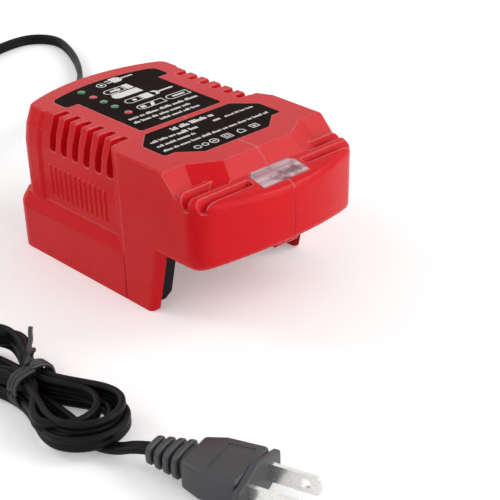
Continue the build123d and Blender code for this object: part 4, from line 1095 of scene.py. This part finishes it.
def windowMaterial(s):
    # cloudy clear plastic with long mould streaks along its width
    material, tree, shader = emptyMaterial("windowClear")
    streaks = noiseNode(tree, 1.0, 2.0)
    tree.links.new(stretchedCoords(tree, s["streak"]), streaks.inputs["Vector"])
    clouds = noiseNode(tree, 1.0, 3.0)
    tree.links.new(stretchedCoords(tree, s["cloud"]), clouds.inputs["Vector"])
    streaked = rangeNode(tree, streaks.outputs["Fac"], *s["streakSpan"])
    clouded = rangeNode(tree, clouds.outputs["Fac"], *s["cloudSpan"])
    tint = mixColours(tree, streaked, (*s["milky"], 1), (*s["clear"], 1))
    colour = mixColours(tree, clouded, tint, (*s["shadow"], 1))
    rough = rangeNode(tree, clouds.outputs["Fac"], *noiseSpan, *s["rough"])
    feedShader(tree, shader, colour, rough)
    addBump(tree, shader, streaks.outputs["Fac"], s["wave"])
    setShader(shader, s["shader"])
    return material


metalFinish = {"brush": (60, 1600, 1600), "depth": 0.01}


def metalMaterial(name, colour, shade, rough):
    # bare metal with fine marks along its length
    material, tree, shader = emptyMaterial(name)
    brushed = noiseNode(tree, 1.0, 3.0)
    tree.links.new(stretchedCoords(tree, metalFinish["brush"]), brushed.inputs["Vector"])
    mask = rangeNode(tree, brushed.outputs["Fac"], *noiseSpan)
    colours = mixColours(tree, mask, (*colour, 1), (*shade, 1))
    feedShader(tree, shader, colours, rangeNode(tree, brushed.outputs["Fac"], *noiseSpan, *rough))
    addBump(tree, shader, brushed.outputs["Fac"], metalFinish["depth"])
    setShader(shader, {"Metallic": 1.0})
    return material


boardFinish = {
    "track": (0.03, 0.2, 0.09, 1),
    "mask": (0.012, 0.1, 0.045, 1),
    "scale": 90.0,
    "gap": 0.06,  # between the tracks
    "grain": 1800.0,
    "grainShare": 0.2,
    "rough": (0.3, 0.42),
    "depth": 0.03,
    "shader": {"Coat Weight": 0.3, "Coat Roughness": 0.2},
}


def boardMaterial(s):
    # solder mask over squared copper tracks
    material, tree, shader = emptyMaterial("boardGreen")
    coords = tree.nodes.new("ShaderNodeTexCoord")
    tracks = tree.nodes.new("ShaderNodeTexBrick")
    tracks.inputs["Scale"].default_value = s["scale"]
    tracks.inputs["Mortar Size"].default_value = s["gap"]
    tree.links.new(coords.outputs["Object"], tracks.inputs["Vector"])
    grain = noiseNode(tree, s["grain"])
    tree.links.new(coords.outputs["Object"], grain.inputs["Vector"])
    colour = mixColours(tree, tracks.outputs["Fac"], s["mask"], s["track"])
    feedShader(tree, shader, colour, rangeNode(tree, grain.outputs["Fac"], *noiseSpan, *s["rough"]))
    fine = mathNode(tree, "MULTIPLY", grain.outputs["Fac"], s["grainShare"])
    addBump(tree, shader, mathNode(tree, "ADD", tracks.outputs["Fac"], fine), s["depth"])
    setShader(shader, s["shader"])
    return material


woundFinish = {"distortion": 0.6, "detail": 1.0, "rough": (0.5, 0.28), "depth": 0.12}


def woundMaterial(name, colour, shade, scale, metallic):
    # turns of wire or tape, one band beside the other
    material, tree, shader = emptyMaterial(name)
    coords = tree.nodes.new("ShaderNodeTexCoord")
    bands = tree.nodes.new("ShaderNodeTexWave")
    bands.bands_direction = "Z"
    bands.inputs["Scale"].default_value = scale
    bands.inputs["Distortion"].default_value = woundFinish["distortion"]
    bands.inputs["Detail"].default_value = woundFinish["detail"]
    tree.links.new(coords.outputs["Object"], bands.inputs["Vector"])
    colours = mixColours(tree, bands.outputs["Fac"], (*shade, 1), (*colour, 1))
    feedShader(tree, shader, colours, rangeNode(tree, bands.outputs["Fac"], 0.0, 1.0, *woundFinish["rough"]))
    addBump(tree, shader, bands.outputs["Fac"], woundFinish["depth"])
    setShader(shader, {"Metallic": metallic})
    return material


canFinish = {
    "sleeve": (0.012, 0.02, 0.06, 1),
    "top": (0.75, 0.75, 0.76, 1),
    "topTilt": (0.75, 0.85),  # how far up the bare metal faces
    "grain": 1500.0,
    "rough": (0.3, 0.42),
    "depth": 0.02,
}


def canMaterial(s):
    # plastic sleeve round the sides, bare aluminium on the pressed top
    material, tree, shader = emptyMaterial("canSleeve")
    geometry = tree.nodes.new("ShaderNodeNewGeometry")
    split = tree.nodes.new("ShaderNodeSeparateXYZ")
    tree.links.new(geometry.outputs["Normal"], split.inputs["Vector"])
    top = rangeNode(tree, split.outputs["Z"], *s["topTilt"])
    coords = tree.nodes.new("ShaderNodeTexCoord")
    grain = noiseNode(tree, s["grain"])
    tree.links.new(coords.outputs["Object"], grain.inputs["Vector"])
    colour = mixColours(tree, top, s["sleeve"], s["top"])
    feedShader(tree, shader, colour, rangeNode(tree, grain.outputs["Fac"], *noiseSpan, *s["rough"]))
    tree.links.new(top, shader.inputs["Metallic"])
    addBump(tree, shader, grain.outputs["Fac"], s["depth"])
    return material


shadeShare = 0.82  # how dark the patches of a plain plastic are


def plastic(name, colour, rough=(0.4, 0.5), **more):
    shade = tuple(c * shadeShare for c in colour)
    return skinMaterial(name, {"colour": colour, "shade": shade, "rough": rough, **more})[0]


cordFinish = {
    "colour": srgb(15, 16, 17),
    "shade": srgb(11, 12, 13),
    "patch": 120.0,
    "grain": 3200.0,
    "rough": (0.38, 0.5),
    "depth": 0.02,
    "shader": {"Specular IOR Level": 0.12},
}
cordRubber = skinMaterial("cordRubber", cordFinish)[0]
for piece in (twinCord, cordSleeve):
    paint(piece, cordRubber)
paint(wireTie, plastic("tieBlack", srgb(34, 34, 36), (0.35, 0.5), grain=1800.0, depth=0.03))
paint(mouldedPlug, plastic("plugCharcoal", srgb(58, 59, 62), (0.4, 0.5), grain=2200.0, depth=0.025))

nodeFinishes = {
    "left_shell": housingRed,
    "right_shell": housingRed,
    "upper_label": labelBlack,
    "lower_label": labelBlack,
    "front_lens": windowMaterial(windowFinish),
    "left_guide_rail": plastic(
        "guideBlack",
        srgb(7, 11, 16),
        (0.42, 0.55),
        grain=1600.0,
        depth=0.03,
        shader={"Specular IOR Level": 0.12},
    ),
    "terminal_block": plastic("blockBlack", srgb(24, 24, 26), (0.45, 0.55), grain=1500.0, depth=0.02),
    "contact_blades": metalMaterial("bladeNickel", (0.78, 0.75, 0.68), (0.66, 0.63, 0.56), (0.22, 0.34)),
    "main_board": boardMaterial(boardFinish),
    "board_screws": metalMaterial("screwZinc", (0.7, 0.71, 0.72), (0.55, 0.56, 0.58), (0.25, 0.4)),
    "mains_fuse": plastic("fuseBrown", (0.09, 0.04, 0.02), (0.3, 0.4)),
    "x_capacitor": plastic("filmYellow", (0.7, 0.42, 0.03), (0.35, 0.45), grain=900.0),
    "line_choke": woundMaterial("chokeCopper", (0.6, 0.2, 0.06), (0.3, 0.08, 0.02), 260.0, 0.7),
    "bridge_rectifier": plastic("epoxyBlack", srgb(30, 30, 31), (0.35, 0.5), grain=1100.0, depth=0.03),
    "bulk_capacitor": canMaterial(canFinish),
    "switch_heatsink": metalMaterial("sinkAluminium", (0.75, 0.75, 0.76), (0.62, 0.62, 0.64), (0.3, 0.42)),
    "transformer_core": plastic("ferriteGrey", srgb(58, 57, 56), (0.55, 0.7), grain=1300.0, depth=0.04),
    "transformer_winding": woundMaterial("windingTape", (0.72, 0.5, 0.05), (0.6, 0.38, 0.03), 120.0, 0.0),
    "window_lights": lightMaterial("domeMilky", srgb(226, 214, 214), srgb(205, 190, 190)),
    "plug_blades": metalMaterial("plugNickel", (0.86, 0.85, 0.83), (0.74, 0.73, 0.71), (0.18, 0.3)),
    "mains_leads": plastic("leadBrown", (0.16, 0.05, 0.02), (0.4, 0.5)),
}
sameFinish = {
    "right_guide_rail": "left_guide_rail",
    "indicator_board": "main_board",
    "board_pins": "contact_blades",
    "case_screws": "board_screws",
    "switch_transistor": "bridge_rectifier",
    "output_diode": "bridge_rectifier",
    "control_chip": "bridge_rectifier",
    "output_capacitors": "bulk_capacitor",
    "indicator_lights": "window_lights",
}
for node, other in sameFinish.items():
    nodeFinishes[node] = nodeFinishes[other]
for node, material in nodeFinishes.items():
    paint(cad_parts[node], material)
print("finishes placed:", len(bpy.data.materials), "materials")


# floor, world and lamps
stageSet = {
    "floorSize": 6.0,
    "floor": {"Base Color": (0.93, 0.93, 0.93, 1), "Roughness": 0.85, "Specular IOR Level": 0.1},
    "floorGlow": 0.26,  # lifts the floor to white for the eye alone
    "world": 0.5,
    "lamps": [
        # name, direction, distance, size, brightness
        ("frontLamp", (0.35, -0.9, 0.3), 1.7, 1.7, 1.6),
        ("keyLamp", (0.6, -0.46, 0.66), 1.5, 0.6, 4.2),
        ("sideLamp", (-0.88, -0.2, 0.42), 1.6, 1.2, 0.8),
        ("edgeLamp", (-0.46, 0.66, 0.6), 1.6, 0.5, 5.0),
    ],
}


def seenDirectly(tree):
    # one for the eye, for reflections and for what is seen through glass
    path = tree.nodes.new("ShaderNodeLightPath")
    seen = mathNode(tree, "MAXIMUM", path.outputs["Is Camera Ray"], path.outputs["Is Glossy Ray"])
    return mathNode(tree, "MAXIMUM", seen, path.outputs["Is Transmission Ray"])


def makeStage(s):
    bm = bmesh.new()
    bmesh.ops.create_grid(bm, x_segments=1, y_segments=1, size=s["floorSize"] / 2)
    mesh = bpy.data.meshes.new("paleFloor")
    bm.to_mesh(mesh)
    bm.free()
    floor = bpy.data.objects.new("paleFloor", mesh)
    bpy.context.collection.objects.link(floor)
    material, tree, shader = emptyMaterial("floorPaint")
    setShader(shader, {**s["floor"], "Emission Color": (1, 1, 1, 1)})
    glow = mathNode(tree, "MULTIPLY", seenDirectly(tree), s["floorGlow"])
    tree.links.new(glow, shader.inputs["Emission Strength"])
    mesh.materials.append(material)

    world = bpy.data.worlds.new("paleStudio")
    bpy.context.scene.world = world
    world.use_nodes = True
    tree = world.node_tree
    background = tree.nodes["Background"]
    background.inputs["Color"].default_value = (1, 1, 1, 1)
    strength = rangeNode(tree, seenDirectly(tree), 0.0, 1.0, s["world"], 1.0)
    tree.links.new(strength, background.inputs["Strength"])
    for name, heading, distance, size, brightness in s["lamps"]:
        data = bpy.data.lights.new(name, "AREA")
        data.size = size
        data.energy = brightness * math.pi * size * size
        lamp = bpy.data.objects.new(name, data)
        lamp.location = Vector(heading).normalized() * distance
        lamp.rotation_euler = (-lamp.location).to_track_quat("-Z", "Y").to_euler()
        bpy.context.collection.objects.link(lamp)


makeStage(stageSet)
bpy.context.scene.view_settings.view_transform = "Standard"
print("stage set")
